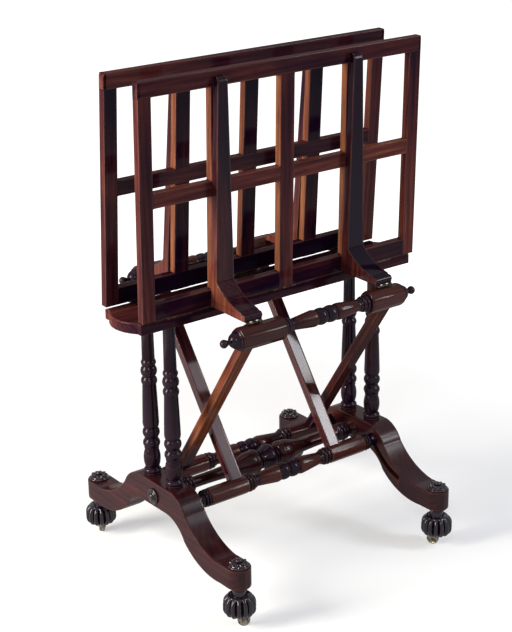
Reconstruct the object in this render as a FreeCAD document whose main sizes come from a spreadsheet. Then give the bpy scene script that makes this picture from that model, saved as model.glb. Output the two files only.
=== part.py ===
"""Atlas stand: two open leaves hinged on a platform, carried by turned columns on two trestle ends.

X runs along the leaves, +Y points to the back leaf and +Z up. The origin lies on the floor under the
middle of the stand. Each leaf opens outward about a hinge on the platform's edge. Its arms push an
upper bar, which two flat struts join to the lower bar on the far side, whose pins slide in tracks.
"""

import FreeCAD, Part
import math
import os

import Sketcher
from FreeCAD import Placement, Rotation, Vector

DIMENSIONS = {
    # trestle ends
    "trestle_reach": 269.0,
    "trestle_thickness": 52.0,
    "trestle_top": 227.0,
    "arch_top": 172.0,
    "toe_reach": 255.0,
    "toe_radius": 24.0,
    "toe_bottom": 91.0,
    "toe_top": 134.0,
    "stretcher_height": 196.0,
    "track_depth": 11.0,
    "track_width": 12.8,
    # columns
    "column_spacing": 39.0,
    "column_radius": 18.0,
    "tenon_radius": 9.0,
    "tenon_length": 20.0,
    # platform
    "platform_length": 700.0,
    "platform_depth": 128.0,
    "platform_top": 602.5,
    "platform_thickness": 22.0,
    "platform_bow": 18.0,
    "platform_corner": 14.0,
    # leaves, from the hinge axis
    "hinge_reach": 67.0,
    "hinge_height": 604.2,
    "leaf_length": 704.0,
    "leaf_height": 474.0,
    "leaf_thickness": 17.0,
    "leaf_lift": 3.0,
    "leaf_overhang": 7.0,
    "stile_width": 30.0,
    "muntin_width": 35.0,
    "top_rail_width": 32.0,
    "middle_rail_width": 31.0,
    "middle_rail_height": 227.5,
    "bottom_rail_width": 37.0,
    "front_lean": 1.6,
    "back_lean": -3.8,
    # arms
    "arm_reach": 169.0,
    "arm_width": 44.0,
    "arm_top_width": 23.0,
    "arm_depth": 20.0,
    "arm_top_depth": 15.0,
    "arm_height": 466.0,
    "arm_foot": 118.0,
    "arm_lift": 4.75,
    "arm_foot_height": 53.0,
    "toe_thickness": 12.0,
    # hinges
    "knuckle_radius": 2.6,
    "pin_radius": 1.2,
    "plate_thickness": 1.4,
    "running_gap": 0.05,
    "leaf_hinge_length": 60.0,
    "leaf_hinge_reach": 262.0,
    "toe_hinge_out": 120.0,
    "toe_hinge_drop": -0.75,
    "toe_hinge_length": 38.0,
    # bars and struts
    "upper_block_width": 45.0,
    "lower_block_width": 36.0,
    "block_start": 111.0,
    "front_block_end": 209.5,
    "back_block_end": 182.0,
    "lower_block_end": 211.0,
    "front_middle_shift": 9.0,
    "upper_turned_radius": 17.6,
    "lower_turned_radius": 19.0,
    "ball_radius": 8.6,
    "bar_drop": 26.2,
    "strut_width": 29.5,
    "strut_thickness": 18.0,
    "housing_depth": 7.0,
    "front_strut_reach": 180.0,
    "back_strut_reach": 133.0,
    "front_bar_reach": 70.0,
    "front_bar_height": 192.5,
    "back_bar_reach": 73.0,
    "back_bar_height": 194.5,
    "bar_pin_radius": 5.5,
    # feet and castors
    "foot_bottom": 25.0,
    "foot_top": 70.0,
    "foot_radius": 34.0,
    "socket_radius": 23.0,
    "socket_top": 36.0,
    "stem_radius": 3.0,
    "wheel_radius": 13.0,
    "wheel_width": 11.0,
    "wheel_trail": 8.0,
    "axle_radius": 2.0,
}

LEAF_RANGE = {"front": (-4.0, 50.0), "back": (-1.0, 50.0)}
STRUT_RATIO = 0.87
CASTOR_HEADINGS = {"front_left": -25.0, "back_left": 50.0, "front_right": 110.0, "back_right": 20.0}
SIDES = {"front": 0.0, "back": 180.0}

doc = FreeCAD.newDocument("atlas_stand")
sheet = doc.addObject("Spreadsheet::Sheet", "dims")
sub_parts = []


def fill_sheet():
    """Writes every driving dimension into its own named cell."""
    for row, (alias, value) in enumerate(DIMENSIONS.items(), start=1):
        sheet.set(f"A{row}", alias.replace("_", " "))
        sheet.set(f"B{row}", str(value))
        sheet.setAlias(f"B{row}", alias)
    doc.recompute()


def size(expression):
    """The value of an expression of the sheet's cells, in millimetres."""
    return float(sheet.evalExpression(str(expression)))


def new_body(name):
    """An empty body that becomes one sub-part."""
    body = doc.addObject("PartDesign::Body", name)
    body.Label = name
    sub_parts.append(body)
    return body


def sketch_on(body, plane, lift="0"):
    """A sketch on one of the body's own origin planes, lifted along the plane's normal."""
    sketch = body.newObject("Sketcher::SketchObject", f"{body.Name}_outline")
    support = next(feature for feature in body.Origin.OriginFeatures if feature.Role == plane)
    sketch.AttachmentSupport = [(support, "")]
    sketch.MapMode = "FlatFace"
    sketch.setExpression("AttachmentOffset.Base.z", lift)
    return sketch


def tie_corner(sketch, geometry, position, across, up):
    """Ties one corner of an outline to its two expressions, or to an axis where one of them is 0."""
    for kind, axis, expression in (("DistanceX", -2, across), ("DistanceY", -1, up)):
        if expression == "0":
            sketch.addConstraint(Sketcher.Constraint("PointOnObject", geometry, position, axis))
            continue
        value = size(expression)
        index = sketch.addConstraint(Sketcher.Constraint(kind, -1, 1, geometry, position, value))
        sketch.setExpression(f"Constraints[{index}]", expression)


def draw_outline(sketch, corners):
    """Draws one closed outline. A corner is (across, up), or (across, up, middle across, middle up)
    where an arc through the middle point leads to it from the corner before."""
    points = [Vector(size(corner[0]), size(corner[1]), 0) for corner in corners]
    pieces = []
    for index, corner in enumerate(corners):
        start, end = points[index - 1], points[index]
        if len(corner) == 4:
            middle = Vector(size(corner[2]), size(corner[3]), 0)
            piece = sketch.addGeometry(Part.Arc(start, middle, end))
        else:
            piece = sketch.addGeometry(Part.LineSegment(start, end))
        starts_first = sketch.getPoint(piece, 1).distanceToPoint(start) < 1e-6
        pieces.append((piece, 1, 2) if starts_first else (piece, 2, 1))
    for index, corner in enumerate(corners):
        piece, _, end = pieces[index]
        following, start, _ = pieces[(index + 1) % len(pieces)]
        sketch.addConstraint(Sketcher.Constraint("Coincident", piece, end, following, start))
        tie_corner(sketch, piece, end, corner[0], corner[1])


def draw_rectangle(sketch, left, right, bottom, top):
    """Draws an upright rectangle between four expressions."""
    draw_outline(sketch, [(left, bottom), (right, bottom), (right, top), (left, top)])


def draw_circle(sketch, across, up, radius):
    """Draws a circle about a point."""
    centre = Vector(size(across), size(up), 0)
    circle = sketch.addGeometry(Part.Circle(centre, Vector(0, 0, 1), size(radius)))
    index = sketch.addConstraint(Sketcher.Constraint("Radius", circle, size(radius)))
    sketch.setExpression(f"Constraints[{index}]", radius)
    tie_corner(sketch, circle, 3, across, up)


def pad(body, sketch, length, reverse=False):
    """Adds the sketch's outline to the body over a length."""
    feature = body.newObject("PartDesign::Pad", f"{body.Name}_pad")
    feature.Profile = sketch
    feature.setExpression("Length", length)
    feature.Reversed = reverse
    return feature


def pocket(body, sketch, length, reverse=False):
    """Cuts the sketch's outline out of the body, and checks that something was cut."""
    doc.recompute()
    before = body.Shape.Volume
    feature = body.newObject("PartDesign::Pocket", f"{body.Name}_pocket")
    feature.Profile = sketch
    feature.setExpression("Length", length)
    feature.Reversed = reverse
    doc.recompute()
    if body.Shape.Volume > before - 0.5:
        raise RuntimeError(f"{body.Label}: a pocket cut nothing")
    return feature


def revolve(body, sketch, axis):
    """Turns the sketch's outline about one of the sketch's own axes."""
    feature = body.newObject("PartDesign::Revolution", f"{body.Name}_turning")
    feature.Profile = sketch
    feature.ReferenceAxis = (sketch, [axis])
    feature.Angle = 360.0
    return feature


def place(part, x=0.0, y=0.0, z=0.0, rotation=Rotation()):
    """Sets where a sub-part stands."""
    part.Placement = Placement(Vector(x, y, z), rotation)


def shape_group(name, shapes):
    """One node that holds several equal solids."""
    group = doc.addObject("Part::Feature", name)
    group.Label = name
    group.Shape = Part.makeCompound(shapes)
    sub_parts.append(group)
    return group


# ---------------------------------------------------------------- turned profiles


def bead(inner, outer, start, end):
    """Two corners with a round bead between them; radii across, places along."""
    return [(inner, start), (inner, end, outer, f"({start} + {end}) / 2")]


def column_profile():
    """The column's outline from the foot tenon up, as (radius, height)."""
    full = "dims.platform_top - dims.platform_thickness - dims.trestle_top"

    def up(part):
        return f"({full}) * {part}"

    def wide(part):
        return f"dims.column_radius * {part}"

    corners = [("0", "0 - dims.tenon_length"), ("dims.tenon_radius", "0 - dims.tenon_length")]
    corners += [("dims.tenon_radius", "0"), (wide(0.98), "0"), (wide(0.98), up(0.011))]
    corners += bead(wide(0.9), wide(1.02), up(0.012), up(0.038))
    corners += [(wide(0.77), up(0.044)), (wide(0.78), up(0.161), wide(0.985), up(0.096))]
    corners += [(wide(0.86), up(0.165)), (wide(0.86), up(0.178))]
    corners += bead(wide(0.88), wide(1.0), up(0.18), up(0.218))
    corners += [(wide(0.77), up(0.225))]
    corners += bead(wide(0.8), wide(1.0), up(0.24), up(0.294))
    corners += [(wide(0.79), up(0.3)), (wide(0.9), up(0.306)), (wide(0.96), up(0.325))]
    corners += [(wide(0.8), up(0.566))]
    corners += bead(wide(0.82), wide(0.93), up(0.572), up(0.61))
    corners += [(wide(0.73), up(0.617))]
    corners += bead(wide(0.78), wide(0.95), up(0.625), up(0.679))
    corners += [(wide(0.75), up(0.683))]
    corners += bead(wide(0.78), wide(0.87), up(0.69), up(0.718))
    corners += [(wide(0.735), up(0.724)), (wide(0.68), up(1.0))]
    corners += [("dims.tenon_radius", up(1.0)), ("dims.tenon_radius", f"{full} + 14")]
    corners += [("0", f"{full} + 14")]
    return corners


def bar_middle_profile(radius):
    """The turned middle of a bar, from its centre to the eight-sided block, as (along X, radius)."""
    return [
        ("1", f"{radius} * 0.83"),
        ("24", f"{radius} * 0.83", "12.7", radius),
        ("28", f"{radius} * 0.96"),
        ("34", radius),
        ("80", f"{radius} * 0.71"),
        ("87", f"{radius} * 0.66"),
        ("89", f"{radius} * 0.76"),
        ("93", f"{radius} * 0.76"),
        ("94.5", f"{radius} * 0.68"),
        ("102", f"{radius} * 0.8", "98.5", f"{radius} * 0.95"),
        ("dims.block_start - 0.5", f"{radius} * 0.85", "dims.block_start - 4.5", radius),
        ("dims.block_start", f"{radius} * 0.85"),
    ]


def finial_profile(block_end):
    """The upper bar's end: a ring, a bell, a neck and a ball."""
    radius = "dims.upper_turned_radius"
    ball = "dims.ball_radius"
    return [
        (block_end, f"{radius} * 1.1"),
        (f"{block_end} + 1", f"{radius} * 1.17"),
        (f"{block_end} + 3", f"{radius} * 1.12"),
        (f"{block_end} + 3.5", radius),
        (f"{block_end} + 20", f"{ball} * 0.5", f"{block_end} + 14", f"{radius} * 0.75"),
        (f"{block_end} + 25.8", f"{ball} * 0.5"),
        (f"{block_end} + 41.6", "2", f"{block_end} + 33.5", ball),
        (f"{block_end} + 41.6", "0"),
    ]


def tenon_end_profile(block_end):
    """The lower bar's end: two rings, a short neck and the pin that rides in the track."""
    inner_face = "dims.trestle_reach - dims.trestle_thickness / 2"
    ring = "dims.lower_turned_radius"
    return [
        (block_end, f"{ring} * 0.88"),
        (f"{block_end} + 6", f"{ring} * 0.88", f"{block_end} + 3", ring),
        (f"{block_end} + 13", f"{ring} * 0.82", f"{block_end} + 9.5", f"{ring} * 0.98"),
        (f"{inner_face} - 1", f"{ring} * 0.76", f"{block_end} + 22", f"{ring} * 0.68"),
        (f"{inner_face} - 1", "dims.bar_pin_radius"),
        (f"{inner_face} + dims.track_depth - 1", "dims.bar_pin_radius"),
        (f"{inner_face} + dims.track_depth - 1", "0"),
    ]


def mirror_corners(half):
    """The corners of the left half, from the left end to the middle, for the corners of the right."""
    left = []
    for index in range(len(half) - 1, -1, -1):
        corner = half[index]
        following = half[index + 1] if index + 1 < len(half) else None
        mirrored = (f"0 - ({corner[0]})", corner[1])
        if following and len(following) == 4:
            mirrored += (f"0 - ({following[2]})", following[3])
        left.append(mirrored)
    return left


def move_corners(corners, along):
    """The same corners, moved along the axis."""
    moved = []
    for corner in corners:
        places = tuple(f"{part} + {along}" if n % 2 == 0 else part for n, part in enumerate(corner))
        moved.append(places)
    return moved


# ---------------------------------------------------------------- trestle ends


def track_points(side):
    """Where the lower bar of this side's strut frame is with its leaf closed, half open and open, as
    (reach, height), from the leaf's hinge and the strut frame's constant share of its turn."""
    lean = size(f"dims.{side}_lean")
    toe = toe_hinge_point(side, lean)
    reach = size(f"dims.{side}_bar_reach")
    height = size(f"dims.{side}_bar_height")
    length = math.hypot(reach - toe[0], height - toe[1])
    start = math.atan2(reach - toe[0], toe[1] - height)
    low, high = LEAF_RANGE[side]
    points = []
    for opening in (low, (low + high) / 2, high):
        toe_now = toe_hinge_point(side, lean + opening)
        angle = start + math.radians(opening * (1.0 - STRUT_RATIO))
        points.append((toe_now[0] + length * math.sin(angle), toe_now[1] - length * math.cos(angle)))
    return points


def toe_hinge_point(side, lean):
    """The toe hinge's axis in the side's own Y and Z, with the leaf leaning outward by this much."""
    turn = math.radians(lean)
    out = size("dims.toe_hinge_out")
    down = size("dims.toe_hinge_drop")
    across = -out * math.cos(turn) + down * math.sin(turn)
    up = -out * math.sin(turn) - down * math.cos(turn)
    return across - size("dims.hinge_reach"), up + size("dims.hinge_height")


def trestle_outline():
    """The hog-back board's outline in Y and Z, symmetric about the middle."""
    top = "dims.trestle_top"
    arch = "dims.arch_top"
    toe = "dims.toe_bottom"
    reach = "dims.toe_reach"
    half = [
        ("62", top),
        ("109", f"{top} - 36", "91", f"{top} - 13"),
        (f"{reach} - 45", "dims.toe_top - 1", "148", f"{top} - 71"),
        (reach, "dims.toe_top - 6"),
        (reach, toe),
        (f"{reach} - 30", toe),
        ("106", f"{arch} - 40", "168", f"{toe} + 5"),
        ("44", arch, "80", f"{arch} - 12"),
    ]
    return half + mirror_corners(half)


def cut_track(body, side, facing):
    """Cuts the curved track of one lower bar into the board's inner face."""
    path = track_points(side)
    turn = 1.0 if side == "front" else -1.0
    first, middle, last = (Vector(turn * reach, height, 0) for reach, height in path)
    arc = Part.Arc(first, middle, last).toShape()
    centre = arc.Curve.Center
    radius = arc.Curve.Radius
    half_width = size("dims.track_width") / 2

    def beside(point, offset):
        return point + (point - centre).normalize() * offset

    sketch = sketch_on(body, "YZ_Plane", "0")
    outer = Part.Arc(*(beside(p, half_width) for p in (first, middle, last)))
    inner = Part.Arc(*(beside(p, -half_width) for p in (last, middle, first)))
    ahead = (last - centre).cross(Vector(0, 0, 1)).normalize()
    ahead = ahead if ahead.dot(last - first) > 0 else -ahead
    back = (first - centre).cross(Vector(0, 0, 1)).normalize()
    back = back if back.dot(first - last) > 0 else -back
    far_cap = Part.Arc(beside(last, half_width), last + ahead * half_width, beside(last, -half_width))
    near_cap = Part.Arc(beside(first, -half_width), first + back * half_width, beside(first, half_width))
    for piece in (outer, far_cap, inner, near_cap):
        sketch.addGeometry(piece)
    if radius < half_width:
        raise RuntimeError("the track bends too sharply")
    edge = f"{facing} * dims.trestle_thickness / 2"
    sketch.setExpression("AttachmentOffset.Base.z", edge)
    pocket(body, sketch, "dims.track_depth", reverse=facing < 0)


def build_trestle(name, reach_sign):
    """One trestle end: the shaped board with its round toe blocks, sockets and tracks."""
    body = new_body(name)
    board = sketch_on(body, "YZ_Plane", "0 - dims.trestle_thickness / 2")
    draw_outline(board, trestle_outline())
    pad(body, board, "dims.trestle_thickness")
    for turn in (-1, 1):
        toe = sketch_on(body, "XY_Plane", "dims.toe_bottom")
        draw_circle(toe, "0", f"{turn} * dims.toe_reach", "dims.toe_radius")
        pad(body, toe, "dims.toe_top - dims.toe_bottom")
        socket = sketch_on(body, "XY_Plane", "dims.trestle_top")
        draw_circle(socket, "0", f"{turn} * dims.column_spacing", "dims.tenon_radius")
        pocket(body, socket, "dims.tenon_length")
    facing = -1 if reach_sign > 0 else 1
    hole = sketch_on(body, "YZ_Plane", f"{facing} * dims.trestle_thickness / 2")
    draw_circle(hole, "0", "dims.stretcher_height", "dims.tenon_radius")
    pocket(body, hole, "dims.tenon_length", reverse=facing < 0)
    cut_track(body, "front", facing)
    cut_track(body, "back", facing)
    place(body, x=reach_sign * size("dims.trestle_reach"))


def build_column(name, x_sign, y_sign):
    """One turned column with a tenon at each end."""
    body = new_body(name)
    sketch = sketch_on(body, "XZ_Plane")
    draw_outline(sketch, column_profile())
    revolve(body, sketch, "V_Axis")
    x = x_sign * size("dims.trestle_reach")
    place(body, x, y_sign * size("dims.column_spacing"), size("dims.trestle_top"))


def build_stretcher():
    """The central stretcher: a big bead between two vases, with rings at its ends."""
    body = new_body("central_stretcher")
    face = "dims.trestle_reach - dims.trestle_thickness / 2"
    half = [
        ("20", "23", "0.1", "28.5"),
        ("28", "21", "24", "24.5"),
        ("31", "23"),
        ("196", "12.5", "105", "22.5"),
        ("199", "16"),
        ("207", "16", "203", "19.5"),
        ("215", "15", "211", "20.5"),
        ("223", "16", "219", "19.5"),
        ("226", "15"),
        ("234", "15"),
        (f"{face}", "19"),
        (f"{face}", "dims.tenon_radius"),
        (f"{face} + dims.tenon_length", "dims.tenon_radius"),
        (f"{face} + dims.tenon_length", "0"),
    ]
    sketch = sketch_on(body, "XZ_Plane")
    draw_outline(sketch, mirror_corners(half) + half)
    revolve(body, sketch, "H_Axis")
    place(body, z=size("dims.stretcher_height"))


def build_bosses():
    """The turned bosses that cover the stretcher's ends on the outer faces."""
    face = size("dims.trestle_reach + dims.trestle_thickness / 2")
    height = size("dims.stretcher_height")
    bosses = []
    for sign in (-1, 1):
        profile = Part.makePolygon(
            [Vector(*point) for point in ((0, 0, 0), (17, 0, 0), (17, 0, 3), (14, 0, 6), (7, 0, 7))]
            + [Vector(5, 0, 9), Vector(0, 0, 10), Vector(0, 0, 0)]
        )
        disc = Part.Face(profile).revolve(Vector(), Vector(0, 0, 1), 360)
        disc.Placement = Placement(Vector(sign * face, 0, height), Rotation(Vector(0, 1, 0), sign * 90))
        bosses.append(disc)
    shape_group("stretcher_bosses", bosses)


def build_platform():
    """The platform: a board whose ends bow out between small square corners."""
    body = new_body("platform")
    end = "dims.platform_length / 2"
    side = "dims.platform_depth / 2"
    inner = f"{side} - dims.platform_corner"
    bow = f"{end} + dims.platform_bow"
    sketch = sketch_on(body, "XY_Plane")
    corners = [
        (end, f"0 - {side}"),
        (end, f"0 - ({inner})"),
        (end, inner, bow, "0.001"),
        (end, side),
        (f"0 - {end}", side),
        (f"0 - {end}", inner),
        (f"0 - {end}", f"0 - ({inner})", f"0 - ({bow})", "0.001"),
        (f"0 - {end}", f"0 - {side}"),
    ]
    draw_outline(sketch, corners)
    pad(body, sketch, "dims.platform_thickness")
    holes = sketch_on(body, "XY_Plane")
    for x_sign in (-1, 1):
        for y_sign in (-1, 1):
            x = f"{x_sign} * dims.trestle_reach"
            draw_circle(holes, x, f"{y_sign} * dims.column_spacing", "dims.tenon_radius")
    pocket(body, holes, "14", reverse=True)
    place(body, z=size("dims.platform_top - dims.platform_thickness"))


# ---------------------------------------------------------------- leaves


def side_rotation(side, lean=0.0):
    """Turns a piece of the front side to its own side, leaning outward by some degrees."""
    return Rotation(Vector(0, 0, 1), SIDES[side]) * Rotation(Vector(1, 0, 0), lean)


def leaf_placement(side):
    """The leaf's frame: its origin on the hinge axis, -Y pointing outward."""
    reach = size("dims.hinge_reach")
    y = -reach if side == "front" else reach
    lean = size(f"dims.{side}_lean")
    return Placement(Vector(0, y, size("dims.hinge_height")), side_rotation(side, lean))


def leaf_crossings():
    """Where the uprights and the rails of a leaf run: their edges, as expressions."""
    end = "dims.leaf_length / 2"
    half = "dims.muntin_width / 2"
    uprights = {
        "left_stile": (f"0 - {end}", f"dims.stile_width - {end}"),
        "left_muntin": (f"0 - dims.arm_reach - {half}", f"{half} - dims.arm_reach"),
        "centre_muntin": (f"0 - {half}", half),
        "right_muntin": (f"dims.arm_reach - {half}", f"dims.arm_reach + {half}"),
        "right_stile": (f"{end} - dims.stile_width", end),
    }
    low = "dims.leaf_lift"
    middle = f"{low} + dims.middle_rail_height"
    high = f"{low} + dims.leaf_height"
    rails = {
        "bottom_rail": (low, f"{low} + dims.bottom_rail_width"),
        "middle_rail": (middle, f"{middle} + dims.middle_rail_width"),
        "top_rail": (f"{high} - dims.top_rail_width", high),
    }
    return uprights, rails


def build_leaf_member(name, side, edges, laps, upright):
    """One stile, muntin or rail: a flat bar, halved where the others cross it. The uprights keep
    their outer half at a crossing and the rails their inner half."""
    body = new_body(name)
    bar = sketch_on(body, "XZ_Plane", "dims.leaf_overhang - dims.leaf_thickness")
    draw_rectangle(bar, *edges)
    pad(body, bar, "dims.leaf_thickness")
    middle = "dims.leaf_overhang - dims.leaf_thickness / 2"
    notches = sketch_on(body, "XZ_Plane", middle)
    for lap in laps:
        draw_rectangle(notches, *lap)
    pocket(body, notches, "dims.leaf_thickness", reverse=not upright)
    body.Placement = leaf_placement(side)


def build_leaf_frame(side):
    """The leaf's five uprights and three rails."""
    uprights, rails = leaf_crossings()
    end = "dims.leaf_length / 2"
    low = "dims.leaf_lift"
    high = f"{low} + dims.leaf_height"
    swap = {"left": "right", "right": "left"} if side == "back" else {}
    for key, (left, right) in uprights.items():
        word, _, rest = key.partition("_")
        name = f"{side}_leaf_{swap.get(word, word)}_{rest}"
        laps = [(left, right, bottom, top) for bottom, top in rails.values()]
        build_leaf_member(name, side, (left, right, low, high), laps, True)
    for key, (bottom, top) in rails.items():
        laps = [(left, right, bottom, top) for left, right in uprights.values()]
        build_leaf_member(f"{side}_leaf_{key}", side, (f"0 - {end}", end, bottom, top), laps, False)


def arm_profile():
    """The arm seen from its end: an upright with a rounded top and a foot with a nosing."""
    face = "0 - dims.leaf_overhang"
    under = "dims.arm_lift"
    toe = "0 - dims.arm_foot"
    lip = f"{under} + dims.toe_thickness"
    return [
        (face, under),
        (face, "dims.arm_height"),
        (f"{face} - dims.arm_top_depth", "dims.arm_height - 14", f"{face} - 10", "dims.arm_height - 2.5"),
        (f"{face} - dims.arm_depth", "dims.arm_foot_height + 6"),
        (f"{toe} + 14", f"{lip} + 4", "0 - 52", "dims.arm_foot_height - 14"),
        (f"{toe} + 9", f"{lip} + 1"),
        (toe, f"{lip} - 6", f"{toe} + 2", f"{lip}"),
        (toe, under),
    ]


def build_arm(name, side, reach_sign):
    """One arm: its profile padded to the full width, then tapered on both flanks."""
    body = new_body(name)
    reach = "dims.arm_reach" if reach_sign > 0 else "(0 - dims.arm_reach)"
    profile = sketch_on(body, "YZ_Plane", f"{reach} - dims.arm_width / 2")
    draw_outline(profile, arm_profile())
    pad(body, profile, "dims.arm_width")
    taper = sketch_on(body, "XZ_Plane", "dims.leaf_overhang - 1")
    low = "dims.arm_foot_height + 4"
    high = "dims.arm_height + 4"
    for flank in (-1, 1):
        wide = f"{reach} + {flank} * (dims.arm_width / 2)"
        draw_outline(
            taper,
            [
                (wide, low),
                (f"{reach} + {flank} * (dims.arm_width / 2 + 6)", low),
                (f"{reach} + {flank} * (dims.arm_width / 2 + 6)", high),
                (f"{reach} + {flank} * (dims.arm_top_width / 2)", high),
            ],
        )
    pocket(body, taper, "60", reverse=True)
    body.Placement = leaf_placement(side)


# ---------------------------------------------------------------- hinges


def hinge_plate(length, plate_reach, plate_low, knuckles, with_pin):
    """One half of a butt hinge about the X axis: its plate, its share of five knuckles and, on the
    half that holds it, the pin. The plate runs along +Y, its lower face at plate_low."""
    radius = size("dims.knuckle_radius")
    pin = size("dims.pin_radius")
    thickness = size("dims.plate_thickness")
    step = length / 5
    clear = 0.2
    inner = radius + 0.4
    plate = Part.makeBox(length, plate_reach - inner, thickness, Vector(-length / 2, inner, plate_low))
    lip_low = min(plate_low, 0.0)
    lip_high = max(plate_low + thickness, 0.0)
    shape = plate
    for index in knuckles:
        start = -length / 2 + index * step + clear
        along = step - 2 * clear
        lip = Part.makeBox(along, inner + 0.2, lip_high - lip_low, Vector(start, 0, lip_low))
        knuckle = Part.makeCylinder(radius, along, Vector(start, 0, 0), Vector(1, 0, 0))
        shape = shape.fuse(lip).fuse(knuckle)
    bore = pin if with_pin else pin + size("dims.running_gap")
    hole = Part.makeCylinder(bore, length + 2, Vector(-length / 2 - 1, 0, 0), Vector(1, 0, 0))
    shape = shape.cut(hole)
    if with_pin:
        rod = Part.makeCylinder(pin, length, Vector(-length / 2, 0, 0), Vector(1, 0, 0))
        shape = shape.fuse(rod)
    return shape.removeSplitter()


def build_leaf_hinges():
    """Three butt hinges for each leaf: the platform's halves hold the pins."""
    length = size("dims.leaf_hinge_length")
    reach = size("dims.leaf_hinge_reach")
    platform_low = size("dims.platform_top - dims.hinge_height")
    leaf_low = size("dims.leaf_lift - dims.plate_thickness")
    fixed = []
    for side in SIDES:
        frame = leaf_placement(side)
        upright = Placement(frame.Base, side_rotation(side))
        moving = []
        for x in (-reach, 0.0, reach):
            lower = hinge_plate(length, 24.0, platform_low, (0, 2, 4), True)
            lower.Placement = upright * Placement(Vector(x, 0, 0), Rotation())
            fixed.append(lower)
            upper = hinge_plate(length, 9.5, leaf_low, (1, 3), False)
            upper.Placement = Placement(Vector(x, 0, 0), Rotation())
            moving.append(upper)
        group = shape_group(f"{side}_leaf_hinge_plates", moving)
        group.Placement = frame
    shape_group("platform_hinge_plates", fixed)


def build_toe_hinges(side):
    """The butt hinges between the arms' toes and the upper bar; the arm's half holds the pin."""
    length = size("dims.toe_hinge_length")
    reach = size("dims.arm_reach")
    out = size("dims.toe_hinge_out")
    drop = size("dims.toe_hinge_drop")
    arm_low = size("dims.arm_lift + dims.toe_hinge_drop - dims.plate_thickness")
    facet = -size("dims.bar_drop - dims.upper_block_width / 2")
    on_arm = []
    on_bar = []
    bar_frame = Placement(toe_axis(side), side_rotation(side, -facet_turn(side)))
    for x in (-reach, reach):
        upper = hinge_plate(length, 16.0, arm_low, (0, 2, 4), True)
        upper.Placement = Placement(Vector(x, -out, -drop), Rotation())
        on_arm.append(upper)
        lower = hinge_plate(length, 8.5, facet, (1, 3), False)
        lower.Placement = Placement(Vector(x, 0, 0), Rotation())
        on_bar.append(lower)
    shape_group(f"{side}_arm_hinge_plates", on_arm).Placement = leaf_placement(side)
    shape_group(f"{side}_bar_hinge_plates", on_bar).Placement = bar_frame


# ---------------------------------------------------------------- bars and struts


def toe_axis(side):
    """A point of the toe hinges' axis in the stand's frame."""
    y, z = toe_hinge_point(side, size(f"dims.{side}_lean"))
    return Vector(0, y if side == "front" else -y, z)


def facet_turn(side):
    """How far the facet that carries the toe hinges is turned inward from the top."""
    return 0.0 if side == "front" else 45.0


def strut_frame(side):
    """The strut frame in its side's own Y and Z: the lower bar's axis, the length to the upper bar's
    axis, and the frame's lean outward in degrees."""
    toe = toe_hinge_point(side, size(f"dims.{side}_lean"))
    turn = math.radians(facet_turn(side))
    drop = size("dims.bar_drop")
    upper = (toe[0] - drop * math.sin(turn), toe[1] - drop * math.cos(turn))
    lower = (size(f"dims.{side}_bar_reach"), size(f"dims.{side}_bar_height"))
    length = math.hypot(upper[0] - lower[0], upper[1] - lower[1])
    lean = math.degrees(math.atan2(lower[0] - upper[0], upper[1] - lower[1]))
    return lower, length, lean


def frame_placement(side, along=0.0):
    """A point on the strut frame's own axis, Z pointing from the lower bar to the upper bar."""
    lower, _, lean = strut_frame(side)
    turn = Rotation(Vector(0, 0, 1), SIDES[side])
    base = turn.multVec(Vector(0, lower[0], lower[1]))
    rotation = side_rotation(side, lean)
    return Placement(base + rotation.multVec(Vector(0, 0, along)), rotation)


def bar_sizes(upper):
    """The width across the flats and the turned radius of an upper or a lower bar."""
    row = "upper" if upper else "lower"
    return f"dims.{row}_block_width", f"dims.{row}_turned_radius"


def strut_section(strut_reach, sign):
    """The edges of a strut's section, in the plane across the strut frame's axis."""
    middle = f"{sign} * {strut_reach}"
    half_width = "dims.strut_width / 2"
    half_depth = "dims.strut_thickness / 2"
    return f"{middle} - {half_width}", f"{middle} + {half_width}", f"0 - {half_depth}", half_depth


def build_bar(name, side, block_end, ends, upper, shift="0"):
    """One bar: turned middle and ends, eight-sided blocks, and a housing for each strut."""
    body = new_body(name)
    width, radius = bar_sizes(upper)
    sketch = sketch_on(body, "XZ_Plane")
    middle = bar_middle_profile(radius)
    outline = mirror_corners(ends) + move_corners(mirror_corners(middle) + middle, shift) + ends
    draw_outline(sketch, outline)
    revolve(body, sketch, "H_Axis")
    _, length, lean = strut_frame(side)
    for sign in (-1, 1):
        inner = f"{sign} * dims.block_start + {shift}"
        block = sketch_on(body, "YZ_Plane", inner if sign > 0 else f"0 - ({block_end})")
        corners = []
        for index in range(8):
            angle = 22.5 + 45.0 * index - lean
            corners.append(
                (
                    f"{width} / 2 / cos(22.5 deg) * cos({angle:.4f} deg)",
                    f"{width} / 2 / cos(22.5 deg) * sin({angle:.4f} deg)",
                )
            )
        draw_outline(block, corners)
        pad(body, block, f"{block_end} - {sign} * ({inner})")
    face = f"{width} / 2 - dims.housing_depth"
    housing = sketch_on(body, "XY_Plane", f"0 - ({face})" if upper else face)
    for sign in (-1, 1):
        draw_rectangle(housing, *strut_section(f"dims.{side}_strut_reach", sign))
    pocket(body, housing, width, reverse=not upper)
    body.Placement = frame_placement(side, length if upper else 0.0)


def build_strut(name, side, sign):
    """One flat strut, let into the blocks of both bars."""
    body = new_body(name)
    _, length, _ = strut_frame(side)
    low = "(dims.lower_block_width / 2 - dims.housing_depth)"
    high = "(dims.upper_block_width / 2 - dims.housing_depth)"
    sketch = sketch_on(body, "XY_Plane", low)
    draw_rectangle(sketch, *strut_section(f"dims.{side}_strut_reach", sign))
    pad(body, sketch, f"{length:.6f} - {low} - {high}")
    body.Placement = frame_placement(side)


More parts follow.
